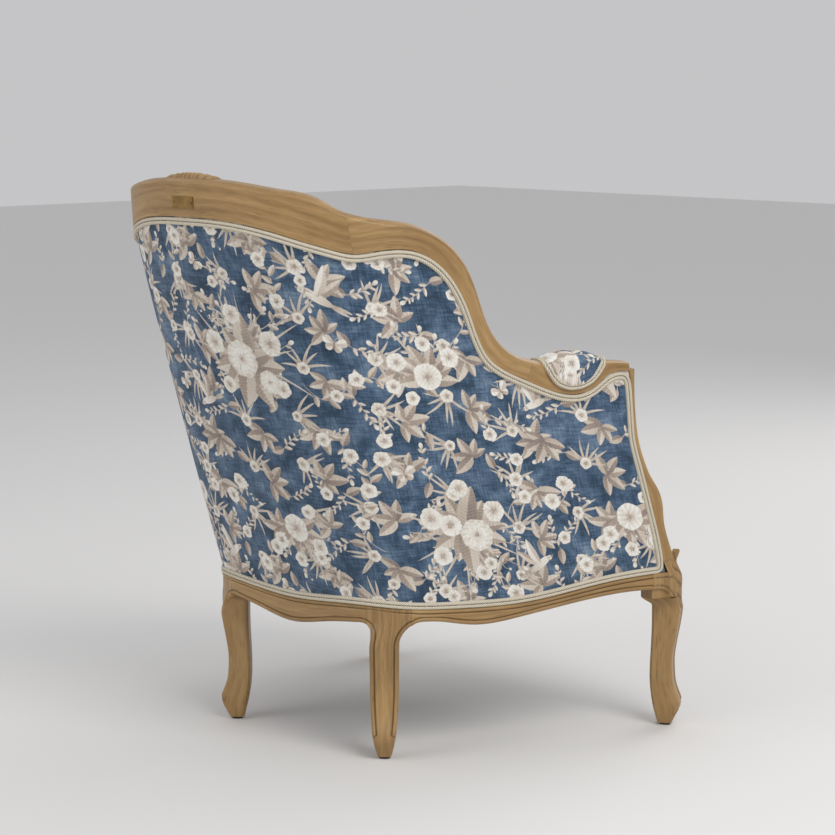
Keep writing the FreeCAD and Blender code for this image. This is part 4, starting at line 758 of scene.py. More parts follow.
def leg(name, foot, facing, fillet_z, reach, radii, block, top, inner, grooves, carve, sign):
    """A leg with its block. block(x) is the block's outer plan, x the distance along its face."""
    across = np.array((-facing[1], facing[0]))
    low_z = np.concatenate([np.linspace(4.0, fillet_z, 118), np.linspace(fillet_z, 232.0, 24)[1:]])
    shares = np.linspace(0, 1, 24)[1:]
    a = np.linspace(-1, 1, columns)
    z = np.vstack([np.broadcast_to(low_z[:, None], (len(low_z), columns)),
                   np.zeros((len(shares), columns))])
    widths = []
    for limit, radius in zip(reach, radii):
        turn = np.clip((z[:, 0] - fillet_z) / radius, 0, 1)
        wide = leg_sizes(np.minimum(z[:, 0], fillet_z))[:, 2] + radius * (1 - np.sqrt(1 - turn ** 2))
        wide[len(low_z):] = limit
        widths.append(np.minimum(wide, limit))
    x = np.where(a < 0, a * widths[0][:, None], a * widths[1][:, None])
    for row, share in enumerate(shares):
        z[len(low_z) + row] = 232.0 + (top(x[len(low_z) + row]) - 232.0) * share
    sizes = leg_sizes(np.minimum(z.ravel(), 232.0)).reshape(*z.shape, 3)
    straight = foot + facing * sizes[:, :, :1] + across * x[:, :, None]
    curved = block(x.ravel()).reshape(*x.shape, 2)
    share = smooth_rise(z, fillet_z - 14, 236.0)[:, :, None]
    face = straight * (1 - share) + curved * share
    if carve:
        face = carve(face, x, z)
    run = np.gradient(face, axis=1)
    normal = unit(np.stack([run[:, :, 1], -run[:, :, 0]], -1))
    normal *= np.sign((normal * facing).sum(-1, keepdims=True))
    edge = np.minimum(x + widths[0][:, None], widths[1][:, None] - x)
    for limit, radius, way in zip(reach, radii, (-1, 1)):
        ahead = way * x - leg_half - radius
        ring = np.hypot(ahead, z - fillet_z) - radius
        edge = np.where((z > fillet_z) & (way * x > 0),
                        np.where(ahead < 0, ring, z - fillet_z - radius), edge)
    edge = np.maximum(edge, 0)
    fade = smooth_rise(z, 36.0, 46.0)
    groove = sum(np.exp(-(to_line(x, z, line) / 1.25) ** 2) for line in grooves)
    groove = np.clip(groove, 0, 1)
    round_off = 4.6 - np.sqrt(np.clip(4.6 ** 2 - (4.6 - np.minimum(edge, 4.6)) ** 2, 0, None))
    swell = 1.2 * np.sin(np.clip(edge / 8.0, 0, 1) * math.pi) * fade
    relief = swell - 1.9 * groove - round_off
    if not carve:
        relief += np.where(z > 232, np.interp(top(x) - z, [t for t, _ in APRON_TOP] + [14],
                                              [d - 6.0 for _, d in APRON_TOP] + [0]), 0)
    face = face + normal * relief[:, :, None]
    back = leg_sizes(np.minimum(z[:, 0], 232.0))[:, 1]
    back_share = smooth_rise(z[:, 0], 214.0, 233.0)[:, None]
    half = np.minimum(widths[0], leg_half)[:, None], np.minimum(widths[1], leg_half)[:, None]
    sides = []
    for f, s, k in ((back + 4, half[1], 0), (back, half[1] - 4, 1), (back, 4 - half[0], 2),
                    (back + 4, -half[0], 3)):
        shaft = foot + facing * f[:, None] + across * s
        sides.append(shaft * (1 - back_share) + np.array(inner[k]) * back_share)
    plan = np.concatenate([face, np.stack(sides, 1)], 1)
    heights = np.concatenate([z, np.repeat(z[:, columns // 2][:, None], 4, 1)], 1)
    rings = np.concatenate([plan, heights[:, :, None]], -1)
    inside = curved[-1] - normal[-1] * (frame_d + apron_proud - 1)
    uncarved = (x[-1] < carve_limit)[:, None] if carve else True
    ledge = np.where(uncarved, inside, face[-1])
    upper = np.concatenate([ledge, plan[-1, columns:]], 0)
    crown = np.full((len(upper), 1), block_top_z)
    near_top = np.concatenate([z[-1], np.full(4, z[-1, 0])])[:, None]
    rings = np.concatenate([rings, [np.concatenate([upper, near_top], 1)],
                            [np.concatenate([upper, crown], 1)]])
    rings = rings * (sign, 1, 1)
    pad = np.zeros((rings.shape[0], 4))
    xs = np.concatenate([np.vstack([x, x[-1:], x[-1:]]), pad], 1)
    grain = np.stack([rings[:, :, 2] / 1000 + 0.21 * sign + foot[1] / 500, xs / 1000,
                      np.zeros_like(xs) + 0.02], -1)
    # The groove mask also darkens the wood: painted shade in the grooves.
    dark = np.concatenate([np.vstack([groove, 0 * groove[:2]]), pad], 1)
    return face_out(skin(name, rings, grain=grain, groove=dark))


carve_limit = corner_length[4] - corner_zero
rear_reach = (plan_distance(REAR_LEG_U) - plan_distance(rear_block_ends[0]),
              plan_distance(rear_block_ends[1]) - plan_distance(REAR_LEG_U))


def rear_u(x):
    return np.interp(x + plan_distance(REAR_LEG_U), plan_length, plan_u)


def edge_line(fillet_z, radius, way, inset=7.6, foot_z=44.0):
    """Groove beside a leg's edge, from the rail down to above the foot."""
    turn = np.radians(np.linspace(100, 0, 12))
    center = leg_half + radius
    points = [(way * (center - (radius + inset) * math.cos(g)), fillet_z + (radius + inset) * math.sin(g))
              for g in turn]
    heights = (180, 150, 115, 80, 62, 52)
    points += [(way * (leg_sizes(h)[0, 2] - inset), h) for h in heights]
    last = leg_sizes(foot_z)[0, 2]
    return points + [(way * (last - inset), foot_z), (way * (last - inset + 4.5), foot_z - 3)]


rear_radii = (float(apron_line(rear_block_ends[0])[0, 0]) - rear_fillet_z,
              float(apron_line(rear_block_ends[1])[0, 0]) - rear_fillet_z)
rear_inner = [tuple(rail_point(u, 0, -rail_inner_d - 2)[0, :2])
              for u in (rear_block_ends[1], rear_block_ends[1] - 0.02, rear_block_ends[0] + 0.02,
                        rear_block_ends[0])]
for side, sign in (("right", 1), ("left", -1)):
    fitted(leg("rear_leg_oak_" + side, rear_foot, rear_facing, rear_fillet_z, rear_reach, rear_radii,
               lambda x: rail_point(rear_u(x), 0, 6.0)[:, :2],
               lambda x: seat_line(rear_u(x).ravel())[:, 0].reshape(np.shape(x)), rear_inner,
               [edge_line(rear_fillet_z, rear_radii[0], -1), edge_line(rear_fillet_z, rear_radii[1], 1)],
               None, sign),
           oak, "oak_show_wood", "frame", "rear_leg_" + side)

post_foot_front, post_foot_ahead, post_foot_reach = post_frame(300.3)
post_foot = np.array([post_foot_front[0] - post_foot_ahead[0] * post_foot_reach[0]
                      + post_out[0] * wood_proud,
                      post_foot_front[0] - post_foot_ahead[0] * 1.0 + post_out[0] * wood_proud,
                      post_foot_front[0] - post_foot_ahead[0] * 4.0 - post_out[0] * 20,
                      post_foot_front[0] + post_out[0] * (wood_proud - show_t)])[:, :2]
post_foot_length = travel(post_foot)
front_reach = (corner_zero, corner_length[-1] - corner_zero)


def into_post(face, x, z):
    """Draws the block in to the foot of the arm post, above the rails."""
    share = np.clip((x - carve_limit) / (front_reach[1] - carve_limit), 0, 1) * post_foot_length[-1]
    foot_x = np.interp(share, post_foot_length, post_foot[:, 0])
    foot_y = np.interp(share, post_foot_length, post_foot[:, 1])
    start = 266 + 19 * smooth_rise(x, front_reach[1] - 26, front_reach[1] - 6)
    blend = (smooth_rise(z, start, 303.0) * smooth_rise(x, carve_limit - 2, carve_limit + 1))[..., None]
    return face * (1 - blend) + np.stack([foot_x, foot_y], -1) * blend


front_radii = (apron_front_z - front_fillet_z, apron_front_z - front_fillet_z)
front_inner = [(-leg_block_x, front_rail_y + apron_proud + rail_inner_d),
               (-leg_block_x - 4, front_rail_y + apron_proud + rail_inner_d + 6),
               tuple(rail_point(FRONT_LEG_U + 0.02, 0, -rail_inner_d)[0, :2]),
               tuple(rail_point(FRONT_LEG_U, 0, -rail_inner_d)[0, :2])]
shoulder_groove = [(-60, 271.5), (-30, 271.0), (-12, 267.0), (2, 256.0), (10, 240.0)]


def front_top(x):
    return np.where(x < carve_limit, seat_top_front_z, block_top_z)


def carved_leaf(name, sign):
    """Acanthus leaf on a front knee: a ribbed blade with five lobes on each side."""
    s = np.linspace(0, 1, 90)[:, None]
    a = np.linspace(-1, 1, 41)[None, :]
    z = 209 + 111 * s + 0 * a
    lobes = np.abs(np.sin(s * math.pi * 4.6 + 0.4)) ** 0.7
    wide = 17.5 * np.sin(math.pi * np.clip(s * 0.93 + 0.07, 0, 1)) ** 0.75 * (0.62 + 0.38 * lobes)
    wide = wide * (1 - 0.35 * smooth_rise(s, 0.72, 1.0)) + 0.4
    x = a * wide + 2.0 - 6 * s * s
    level_z = np.minimum(z, 303.0)
    share = smooth_rise(level_z, front_fillet_z - 14, 236.0)[..., None]
    sizes = leg_sizes(np.minimum(level_z.ravel(), 232.0)).reshape(*z.shape, 3)
    across = np.array((-front_facing[1], front_facing[0]))
    face = (front_foot + front_facing * sizes[..., :1] + across * x[..., None]) * (1 - share)
    face = face + corner_curve((x + corner_zero).ravel()).reshape(*x.shape, 2) * share
    face = into_post(face, x, level_z)
    rib = 1 - np.abs(a)
    veins = 0.55 * np.cos((s * 4.6 - np.abs(a) * 0.75) * 2 * math.pi)
    rise = 6.0 * rib ** 0.55 * (0.55 + 0.45 * np.sin(math.pi * s) ** 0.5) + veins * rib * np.abs(a) * 3.0
    rise = rise - 1.6 * np.exp(-(a / 0.07) ** 2) - 1.2
    rise = rise + 7.0 * smooth_rise(s, 0.80, 1.0) * (1 - 0.4 * a * a)
    face = face + front_facing * rise[..., None]
    points = np.concatenate([face, z[..., None]], -1)
    under = points.copy()
    under[..., :2] -= front_facing * 5.0
    rings = np.concatenate([points, under[:, ::-1]], 1) * (sign, 1, 1)
    grain = rings / 1000
    # Painted shade: the wood is darkened in the hollow of the midrib and between the veins.
    hollow_shade = np.clip(np.exp(-(a / 0.09) ** 2) + 0.7 * (veins < -0.2) * (np.abs(a) > 0.25), 0, 1)
    groove = np.concatenate([hollow_shade + 0 * s, 0 * under[..., 0]], 1)
    return face_out(skin(name, rings, grain=grain[..., [2, 0, 1]], groove=groove))


for side, sign in (("right", 1), ("left", -1)):
    shape = leg("leg_part", front_foot, front_facing, front_fillet_z, front_reach, front_radii,
                lambda x: corner_curve(x + corner_zero), front_top, front_inner,
                [edge_line(front_fillet_z, front_radii[0], -1),
                 edge_line(front_fillet_z, front_radii[1], 1),
                 shoulder_groove], into_post, sign)
    fitted(joined("front_leg_oak_" + side, [shape, carved_leaf("leaf", sign)]), oak, "oak_show_wood",
           "frame", "front_leg_" + side)

# The printed linen. One repeat of the print is drawn here in millimetres: cream and taupe
# garden flowers, leaves, birds and butterflies. Each cover then reads it at its own cloth places.
repeat_w, repeat_h, dot = 640.0, 600.0, 0.8
print_shape = (int(repeat_h / dot), int(repeat_w / dot))
print_edge = np.full(print_shape, -6.0)
print_tone = np.full(print_shape, 0.5)
print_line = np.full(print_shape, -6.0)
chance = np.random.default_rng(11)


def lay(x, y, reach, shape):
    """Lays one shape on the repeat. shape(X, Y) gives distance inside, tone and line."""
    columns_x = np.arange(int((x - reach) / dot), int((x + reach) / dot) + 1)
    rows_y = np.arange(int((y - reach) / dot), int((y + reach) / dot) + 1)
    X, Y = np.meshgrid(columns_x * dot - x, rows_y * dot - y)
    at = np.ix_(rows_y % print_shape[0], columns_x % print_shape[1])
    inside, tone, line = shape(X, Y)
    over = inside > 0
    print_edge[at] = np.maximum(print_edge[at], inside)
    print_tone[at] = np.where(over, tone, print_tone[at])
    print_line[at] = np.where(over, np.maximum(line, 0.75 - inside), print_line[at])


def blade(x, y, angle, length, width, tone=0.4, bend=0.0, full=0.55, tip=0.9, veins=0, light=0.3):
    """Leaf or petal from its stalk end: full and tip shape its two ends."""
    turn = math.radians(angle)
    top = (full / (full + tip)) ** full * (tip / (full + tip)) ** tip

    def shape(X, Y):
        along = X * math.cos(turn) + Y * math.sin(turn)
        side = -X * math.sin(turn) + Y * math.cos(turn)
        s = along / length
        c = np.clip(s, 0.0, 1.0)
        side = side - bend * length * c * c
        half = width / 2 * c ** full * (1 - c) ** tip / top
        inside = half - np.abs(side)
        inside = np.where((s < 0) | (s > 1), -np.hypot(np.abs(s - c) * length, side), inside * 0.88)
        shade = tone + 0.16 * np.sign(side) * min(1, veins) + 0.22 * (c - 0.4)
        line = np.full_like(X, -6.0)
        if veins:
            rib = np.clip(1 - np.abs(side) / 0.9, 0, 1)
            beat = np.abs((c * veins - np.abs(side) / (width * 0.42)) % 1 - 0.5) * 2
            rib = np.maximum(rib, np.clip(1 - beat / 0.30, 0, 1) * 0.75 * (np.abs(side) < half - 1))
            shade = shade + light * rib
        else:
            shade = shade + 0.09 * np.cos(side / (width + 1) * 22) - 0.26 * (1 - c) ** 2
        return inside, shade, line
    lay(x, y, length * (1.05 + abs(bend)) + width, shape)


def disc(x, y, radius, tone, ring=0.0):
    def shape(X, Y):
        far = np.hypot(X, Y)
        return radius - far, tone + ring * np.cos(far / radius * 9), np.full_like(X, -6.0)
    lay(x, y, radius + 4, shape)


def stalk(points, width=1.5, tone=0.62):
    """Thin stem through a few points, smoothed."""
    points = np.array(points, float)
    knots = travel(points)
    line = curve_through(knots, points) if len(points) > 3 else None
    fine_at = np.linspace(0, knots[-1], max(8, int(knots[-1] / 6)))
    run = line(fine_at) if line else np.column_stack(
        [np.interp(fine_at, knots, points[:, k]) for k in (0, 1)])
    for a, b in zip(run, run[1:]):
        mid = (a + b) / 2
        vector = b - a

        def shape(X, Y, a=a - mid, vector=vector):
            s = np.clip(((X - a[0]) * vector[0] + (Y - a[1]) * vector[1]) / (vector @ vector), 0, 1)
            far = np.hypot(X - a[0] - s * vector[0], Y - a[1] - s * vector[1])
            return width / 2 - far, tone + 0 * X, np.full_like(X, -6.0)
        lay(mid[0], mid[1], np.linalg.norm(vector) / 2 + 5, shape)
    return run


def blossom(x, y, radius, petals, turn=0.0, tone=0.80, eye=0.20):
    """Open flower: petals round an eye with stamens."""
    wide = 2.15 * radius * math.tan(math.pi / petals)
    for k in list(range(0, petals, 2)) + list(range(1, petals, 2)):
        g = turn + 360 / petals * k + chance.uniform(-5, 5)
        blade(x, y, g, radius * chance.uniform(0.92, 1.06), wide, tone + chance.uniform(-0.06, 0.08),
              full=0.95, tip=0.36)
    disc(x, y, radius * eye, 0.38, 0.12)
    for k in range(7):
        g = math.radians(turn + 51 * k)
        disc(x + radius * 0.30 * math.cos(g), y + radius * 0.30 * math.sin(g), 1.0, 0.30)


def rose(x, y, radius, turn=0.0):
    """Full garden rose: rings of broad petals closing round a coiled heart."""
    for ring, (count, reach, tone) in enumerate(((7, 1.0, 0.70), (6, 0.80, 0.80), (5, 0.60, 0.86),
                                                 (4, 0.42, 0.80), (3, 0.27, 0.68))):
        for k in range(count):
            g = turn + 360 / count * k + 29 * ring + chance.uniform(-6, 6)
            size = radius * reach
            blade(x - 0.10 * size * math.cos(math.radians(g)),
                  y - 0.10 * size * math.sin(math.radians(g)),
                  g, size * 1.08, size * 1.22, tone + chance.uniform(-0.05, 0.05), full=0.9, tip=0.30)
    disc(x, y, radius * 0.09, 0.35)


def leaf(x, y, angle, length, wide=0.46, tone=0.36, bend=0.0):
    blade(x, y, angle, length, length * wide, tone, bend, 0.6, 0.85, veins=max(4, int(length / 6)))


def sprig(x, y, angle, length, leaves=6, size=14.0, curl=0.25, buds=True, tone=0.50):
    """Fine stem with small leaves in pairs and a bud at its end."""
    a = math.radians(angle)
    ahead = np.array((math.cos(a), math.sin(a)))
    side = np.array((-ahead[1], ahead[0]))
    points = [np.array((x, y)) + ahead * length * s + side * curl * length * s * s
              for s in (0, 0.33, 0.66, 1)]
    run = stalk(points, 1.4)
    for k in range(leaves):
        at = run[min(len(run) - 2, int((k + 1.2) / (leaves + 1) * len(run)))]
        way = 1 if k % 2 else -1
        lean = angle + curl * 90 * (k / leaves) + way * chance.uniform(35, 55)
        leaf(at[0], at[1], lean, size * chance.uniform(0.8, 1.15) * (1.1 - 0.4 * k / leaves), 0.42, tone)
    if buds:
        g = angle + curl * 110
        blade(run[-1][0], run[-1][1], g, size * 0.85, size * 0.55, 0.85, full=0.6, tip=0.45)
    return run[-1]


def berries(x, y, angle, length, count=6):
    a = math.radians(angle)
    stalk([(x, y), (x + length * math.cos(a), y + length * math.sin(a))], 1.3)
    for k in range(count):
        s = (k + 1) / count
        g = a + (0.6 if k % 2 else -0.6)
        bx, by = x + length * s * math.cos(a), y + length * s * math.sin(a)
        ex, ey = bx + 9 * math.cos(g), by + 9 * math.sin(g)
        stalk([(bx, by), (ex, ey)], 1.1)
        disc(ex, ey, 2.6, 0.85, 0.1)


def bird(x, y, angle, size, way=1):
    """Small swallow in flight, seen from the side."""
    def put(along, off, turn, length, width, tone, bend=0.0, full=0.6, tip=0.8, veins=0):
        a = math.radians(angle)
        off *= way
        blade(x + size * (along * math.cos(a) - off * math.sin(a)),
              y + size * (along * math.sin(a) + off * math.cos(a)),
              angle + way * turn, size * length, size * width, tone, way * bend, full, tip, veins, 0.22)
    put(-0.30, 0.0, 172, 0.62, 0.10, 0.55, 0.10)
    put(-0.30, 0.0, 192, 0.58, 0.10, 0.60, -0.08)
    put(0.06, 0.05, 128, 0.86, 0.26, 0.45, -0.20, veins=9)
    put(-0.42, 0.0, 2, 0.92, 0.27, 0.84, 0.04, 0.6, 0.5)
    put(0.38, 0.02, 6, 0.20, 0.17, 0.80, 0.0, 0.5, 0.5)
    put(0.53, 0.03, 4, 0.13, 0.05, 0.35)
    put(0.08, 0.06, 98, 0.92, 0.30, 0.72, -0.26, veins=9)
    a = math.radians(angle)
    disc(x + size * (0.47 * math.cos(a) - 0.04 * way * math.sin(a)),
         y + size * (0.47 * math.sin(a) + 0.04 * way * math.cos(a)), 1.0, 0.05)


def butterfly(x, y, angle, size):
    for turn, length, width, tone in ((62, 1.0, 0.72, 0.78), (-62, 1.0, 0.72, 0.74),
                                      (128, 0.72, 0.60, 0.66), (-128, 0.72, 0.60, 0.62)):
        blade(x, y, angle + turn, size * length, size * width, tone, full=0.9, tip=0.40, veins=3,
              light=-0.22)
    a = math.radians(angle)
    blade(x - 0.4 * size * math.cos(a), y - 0.4 * size * math.sin(a), angle,
          size * 0.9, size * 0.14, 0.30)
    for turn in (18, -18):
        g = math.radians(angle + turn)
        stalk([(x + 0.4 * size * math.cos(a), y + 0.4 * size * math.sin(a)),
               (x + 1.0 * size * math.cos(g), y + 1.0 * size * math.sin(g))], 1.1, 0.75)


def fan(x, y, start, end, count, low, high, kind):
    """Several leaves, blades or sprigs that spread from one place."""
    for k in range(count):
        g = start + (end - start) * (k + 0.5) / count + chance.uniform(-5, 5)
        length = chance.uniform(low, high)
        if kind == "leaf":
            leaf(x, y, g, length, 0.44, chance.uniform(0.26, 0.46), chance.uniform(-0.12, 0.12))
        elif kind == "grass":
            blade(x, y, g, length, 5.0, 0.62, chance.uniform(-0.28, 0.28), 0.35, 0.8)
        elif kind == "berry":
            berries(x, y, g, length)
        else:
            sprig(x, y, g, length, 7, 15, chance.uniform(-0.3, 0.3))


def bouquet(x, y, tilt, size):
    """Large bunch of grasses, sprigs, berries and leaves; its roses and open flowers are laid over it
    afterwards.
    """
    fan(x, y, tilt - 100, tilt + 100, 9, 1.25 * size, 1.75 * size, "grass")
    fan(x, y, tilt - 80, tilt + 85, 6, 1.05 * size, 1.45 * size, "sprig")
    fan(x, y, tilt - 60, tilt + 70, 3, 0.95 * size, 1.2 * size, "berry")
    fan(x, y, tilt - 170, tilt + 190, 11, 0.72 * size, 1.0 * size, "leaf")


for k in range(104):
    x, y = (0.618 * k % 1) * repeat_w, (0.7549 * k % 1) * repeat_h
    if k % 3 == 0:
        fan(x, y, 40 * k, 40 * k + 250, 5, 30, 48, "leaf")
    elif k % 3 == 1:
        sprig(x, y, 67 * k, chance.uniform(46, 66), 8, 14, chance.uniform(-0.4, 0.4), True, 0.56)
        leaf(x, y, 67 * k + 150, 30, 0.5, 0.30)
    else:
        fan(x, y, 50 * k, 50 * k + 160, 6, 40, 60, "grass")
        blossom(x, y, chance.uniform(9, 13), 5, 31 * k, 0.80)
bouquet(150, 150, 80, 92)
for k, (dx, dy, r) in enumerate(((-66, 30, 20), (64, 36, 21), (-6, 84, 17), (-58, -46, 15),
                                 (66, -44, 15))):
    blossom(150 + dx, 150 + dy, r, 5 + k % 2, 40 * k, 0.82)
rose(142, 154, 33, 10)
rose(192, 116, 21, 60)

bouquet(478, 452, 262, 84)
for k, (dx, dy, r) in enumerate(((-58, 24, 20), (58, 30, 19), (-52, -46, 17), (2, 76, 16),
                                 (16, -82, 15))):
    blossom(478 + dx, 452 + dy, r, 6 if k % 2 else 9, 25 * k, 0.84)
rose(496, 440, 29, 35)
blossom(452, 462, 20, 10, 12, 0.90, 0.26)

fan(470, 128, 20, 175, 5, 70, 96, "sprig")
fan(470, 128, -30, 210, 8, 46, 64, "leaf")
fan(470, 128, 40, 150, 4, 80, 110, "grass")
for dx, dy, r, petals in ((0, 2, 24, 8), (-48, 30, 15, 5), (46, 34, 16, 5), (4, 60, 13, 6),
                          (-34, -34, 12, 5)):
    blossom(470 + dx, 128 + dy, r, petals, dx, 0.86)

fan(158, 446, 190, 350, 5, 66, 92, "sprig")
fan(158, 446, 150, 395, 8, 44, 62, "leaf")
fan(158, 446, 210, 330, 3, 70, 90, "berry")
for dx, dy, r, petals in ((0, 0, 25, 6), (-46, -28, 15, 5), (46, -30, 16, 9), (-10, -60, 13, 5),
                          (38, 34, 12, 5)):
    blossom(158 + dx, 446 + dy, r, petals, dx, 0.86)

for points in ([(200, 210), (250, 262), (240, 330), (196, 392)],
               [(530, 190), (566, 250), (548, 320), (512, 384)],
               [(560, 470), (610, 500), (652, 486), (690, 520)],
               [(258, 120), (310, 96), (352, 128), (404, 112)],
               [(60, 250), (30, 300), (46, 352), (92, 404)],
               [(330, 420), (300, 470), (330, 530), (312, 590)]):
    run = stalk(points, 1.7)
    for k in range(3, len(run) - 1, 2):
        heading = math.degrees(math.atan2(*(run[k] - run[k - 1])[::-1]))
        leaf(run[k][0], run[k][1], heading + (48 if k % 4 == 1 else -48), chance.uniform(17, 26), 0.46,
             chance.uniform(0.34, 0.55))
    for k in (len(run) // 3, 2 * len(run) // 3, len(run) - 1):
        blossom(run[k][0] + chance.uniform(-4, 4), run[k][1] + chance.uniform(-4, 4),
                chance.uniform(10, 15), 5,
                chance.uniform(0, 70), 0.86)

bird(322, 268, 150, 62, -1)
bird(600, 372, 28, 54, 1)
bird(24, 68, 200, 50, -1)
butterfly(330, 190, 70, 21)
butterfly(600, 96, 120, 20)
butterfly(88, 322, 40, 19)
butterfly(392, 560, 95, 21)
for x, y, angle in ((385, 330, 60), (415, 250, 200), (20, 190, 95), (610, 200, 250), (270, 20, 30),
                    (40, 520, 300),
                    (250, 520, 120), (600, 572, 170), (330, 360, 250), (372, 20, 75), (120, 290, 20),
                    (560, 20, 110), (20, 420, 60), (430, 330, 320), (300, 300, 290)):
    tip = sprig(x, y, angle, chance.uniform(36, 52), 6, 13, chance.uniform(-0.4, 0.4), True, 0.6)
    blossom(x, y, chance.uniform(9, 13), 5, angle, 0.84)
print_edge = np.clip(print_edge, -3.0, 3.0)
print_line = np.clip(print_line, -3.0, 3.0)


def printed(s, q):
    """Print at cloth places s and q in millimetres: how far inside a motif, its tone, its lines."""
    column, row = (s / dot) % print_shape[1], (q / dot) % print_shape[0]
    c0, r0 = np.floor(column).astype(int), np.floor(row).astype(int)
    fc, fr = column - c0, row - r0
    c0, r0 = c0 % print_shape[1], r0 % print_shape[0]
    c1, r1 = (c0 + 1) % print_shape[1], (r0 + 1) % print_shape[0]
    read = []
    for field in (print_edge, print_tone, print_line):
        read.append((field[r0, c0] * (1 - fc) + field[r0, c1] * fc) * (1 - fr)
                    + (field[r1, c0] * (1 - fc) + field[r1, c1] * fc) * fr)
    return {"print_edge": read[0], "print_tone": read[1], "print_line": read[2],
            "cloth": np.stack([s, q, 0 * s], -1) / 1000}


def linen_finish():
    """Indigo linen with uneven dye and slubs, printed in cream and taupe, matt."""
    f = Finish("printed_linen", 0.86, Sheen_Weight=0.12, Sheen_Roughness=0.5, Specular_IOR_Level=0.25)
    cloth = f.field("cloth", 1)
    clouds = f.noise(cloth, 17.0, 4.0, 0.62, 0.4)
    streaks = f.noise(f.stretch(cloth, (36.0, 260.0, 1.0)), 1.0, 2.0, 0.6)
    slubs = f.noise(f.stretch(cloth, (340.0, 30.0, 1.0)), 1.0, 2.0, 0.6)
    depth = f.math("ADD", f.math("MULTIPLY", clouds, 0.60),
                   f.math("ADD", f.math("MULTIPLY", streaks, 0.25), f.math("MULTIPLY", slubs, 0.25)))
    dye = f.put("ValToRGB", _0=depth)
    ramp = dye.node.color_ramp
    ramp.elements[0].position, ramp.elements[0].color = 0.36, rgb(34, 48, 62)
    ramp.elements[1].position, ramp.elements[1].color = 0.72, rgb(128, 148, 166)
    ramp.elements.new(0.49).color = rgb(54, 76, 98)
    ramp.elements.new(0.59).color = rgb(84, 106, 130)
    inks = f.put("ValToRGB",
                 _0=f.math("ADD", f.field("print_tone"), f.between(slubs, 0.3, 0.7, -0.06, 0.06)))
    ramp = inks.node.color_ramp
    ramp.elements[0].position, ramp.elements[0].color = 0.0, rgb(118, 106, 104)
    ramp.elements[1].position, ramp.elements[1].color = 1.0, rgb(240, 238, 230)
    ramp.elements.new(0.34).color = rgb(176, 160, 145)
    ramp.elements.new(0.62).color = rgb(211, 199, 184)
    ramp.elements.new(0.80).color = rgb(226, 219, 207)
    threads = f.noise(f.stretch(cloth, (1500.0, 1500.0, 1.0)), 1.0, 1.0)
    wander = f.between(threads, 0.2, 0.8, -0.22, 0.22)
    inked = f.between(f.math("ADD", f.field("print_edge"), wander), -0.30, 0.30)
    lined = f.between(f.math("ADD", f.field("print_line"), wander), -0.25, 0.35)
    drawn = f.mix(f.math("MULTIPLY", lined, 0.62), inks, rgb(104, 102, 110))
    colour = f.mix(inked, dye, drawn)
    warp = f.put("TexWave", 1, {"bands_direction": "X"}, Vector=cloth, Scale=330.0, Distortion=0.6)
    weft = f.put("TexWave", 1, {"bands_direction": "Y"}, Vector=cloth, Scale=330.0, Distortion=0.6)
    weave = f.math("ADD", warp, weft)
    colour = f.mix(f.between(weave, 0.5, 1.7, 0.16, 0.0), colour, rgb(30, 34, 46))
    f.bump(f.math("ADD", weave, f.math("MULTIPLY", slubs, 1.5)), 0.25, 0.0004)
    return f.colour(colour)


linen = linen_finish()

# The outside cover is one panel of the linen, stretched over wadding from post to post and
# tacked to the tongues of the show-wood. It swells a little between its edges.
share_rows = np.linspace(-0.1, 1.1, 25)
cloth_u = np.linspace(0, 1.05, 1200)
cloth_length = np.stack([travel(base_plan(cloth_u) * (1 - w) + crown_plan(cloth_u) * w)
                         for w in share_rows])
back_slope = math.hypot(1, back_rake / (shell_crown_z - shell_base_z))


def cloth_place(u, z):
    """Place on the flat cloth of a point of the shell."""
    w = (z - shell_base_z) / (shell_crown_z - shell_base_z)
    row = np.clip((w - share_rows[0]) / (share_rows[1] - share_rows[0]), 0, len(share_rows) - 1.001)
    r0 = np.floor(row).astype(int)
    at = np.clip(np.abs(u) / cloth_u[-1] * (len(cloth_u) - 1), 0, len(cloth_u) - 1.001)
    c0 = np.floor(at).astype(int)
    fr, fc = row - r0, at - c0
    length = ((cloth_length[r0, c0] * (1 - fc) + cloth_length[r0, c0 + 1] * fc) * (1 - fr)
              + (cloth_length[r0 + 1, c0] * (1 - fc) + cloth_length[r0 + 1, c0 + 1] * fc) * fr)
    return np.sign(u) * length, z * back_slope


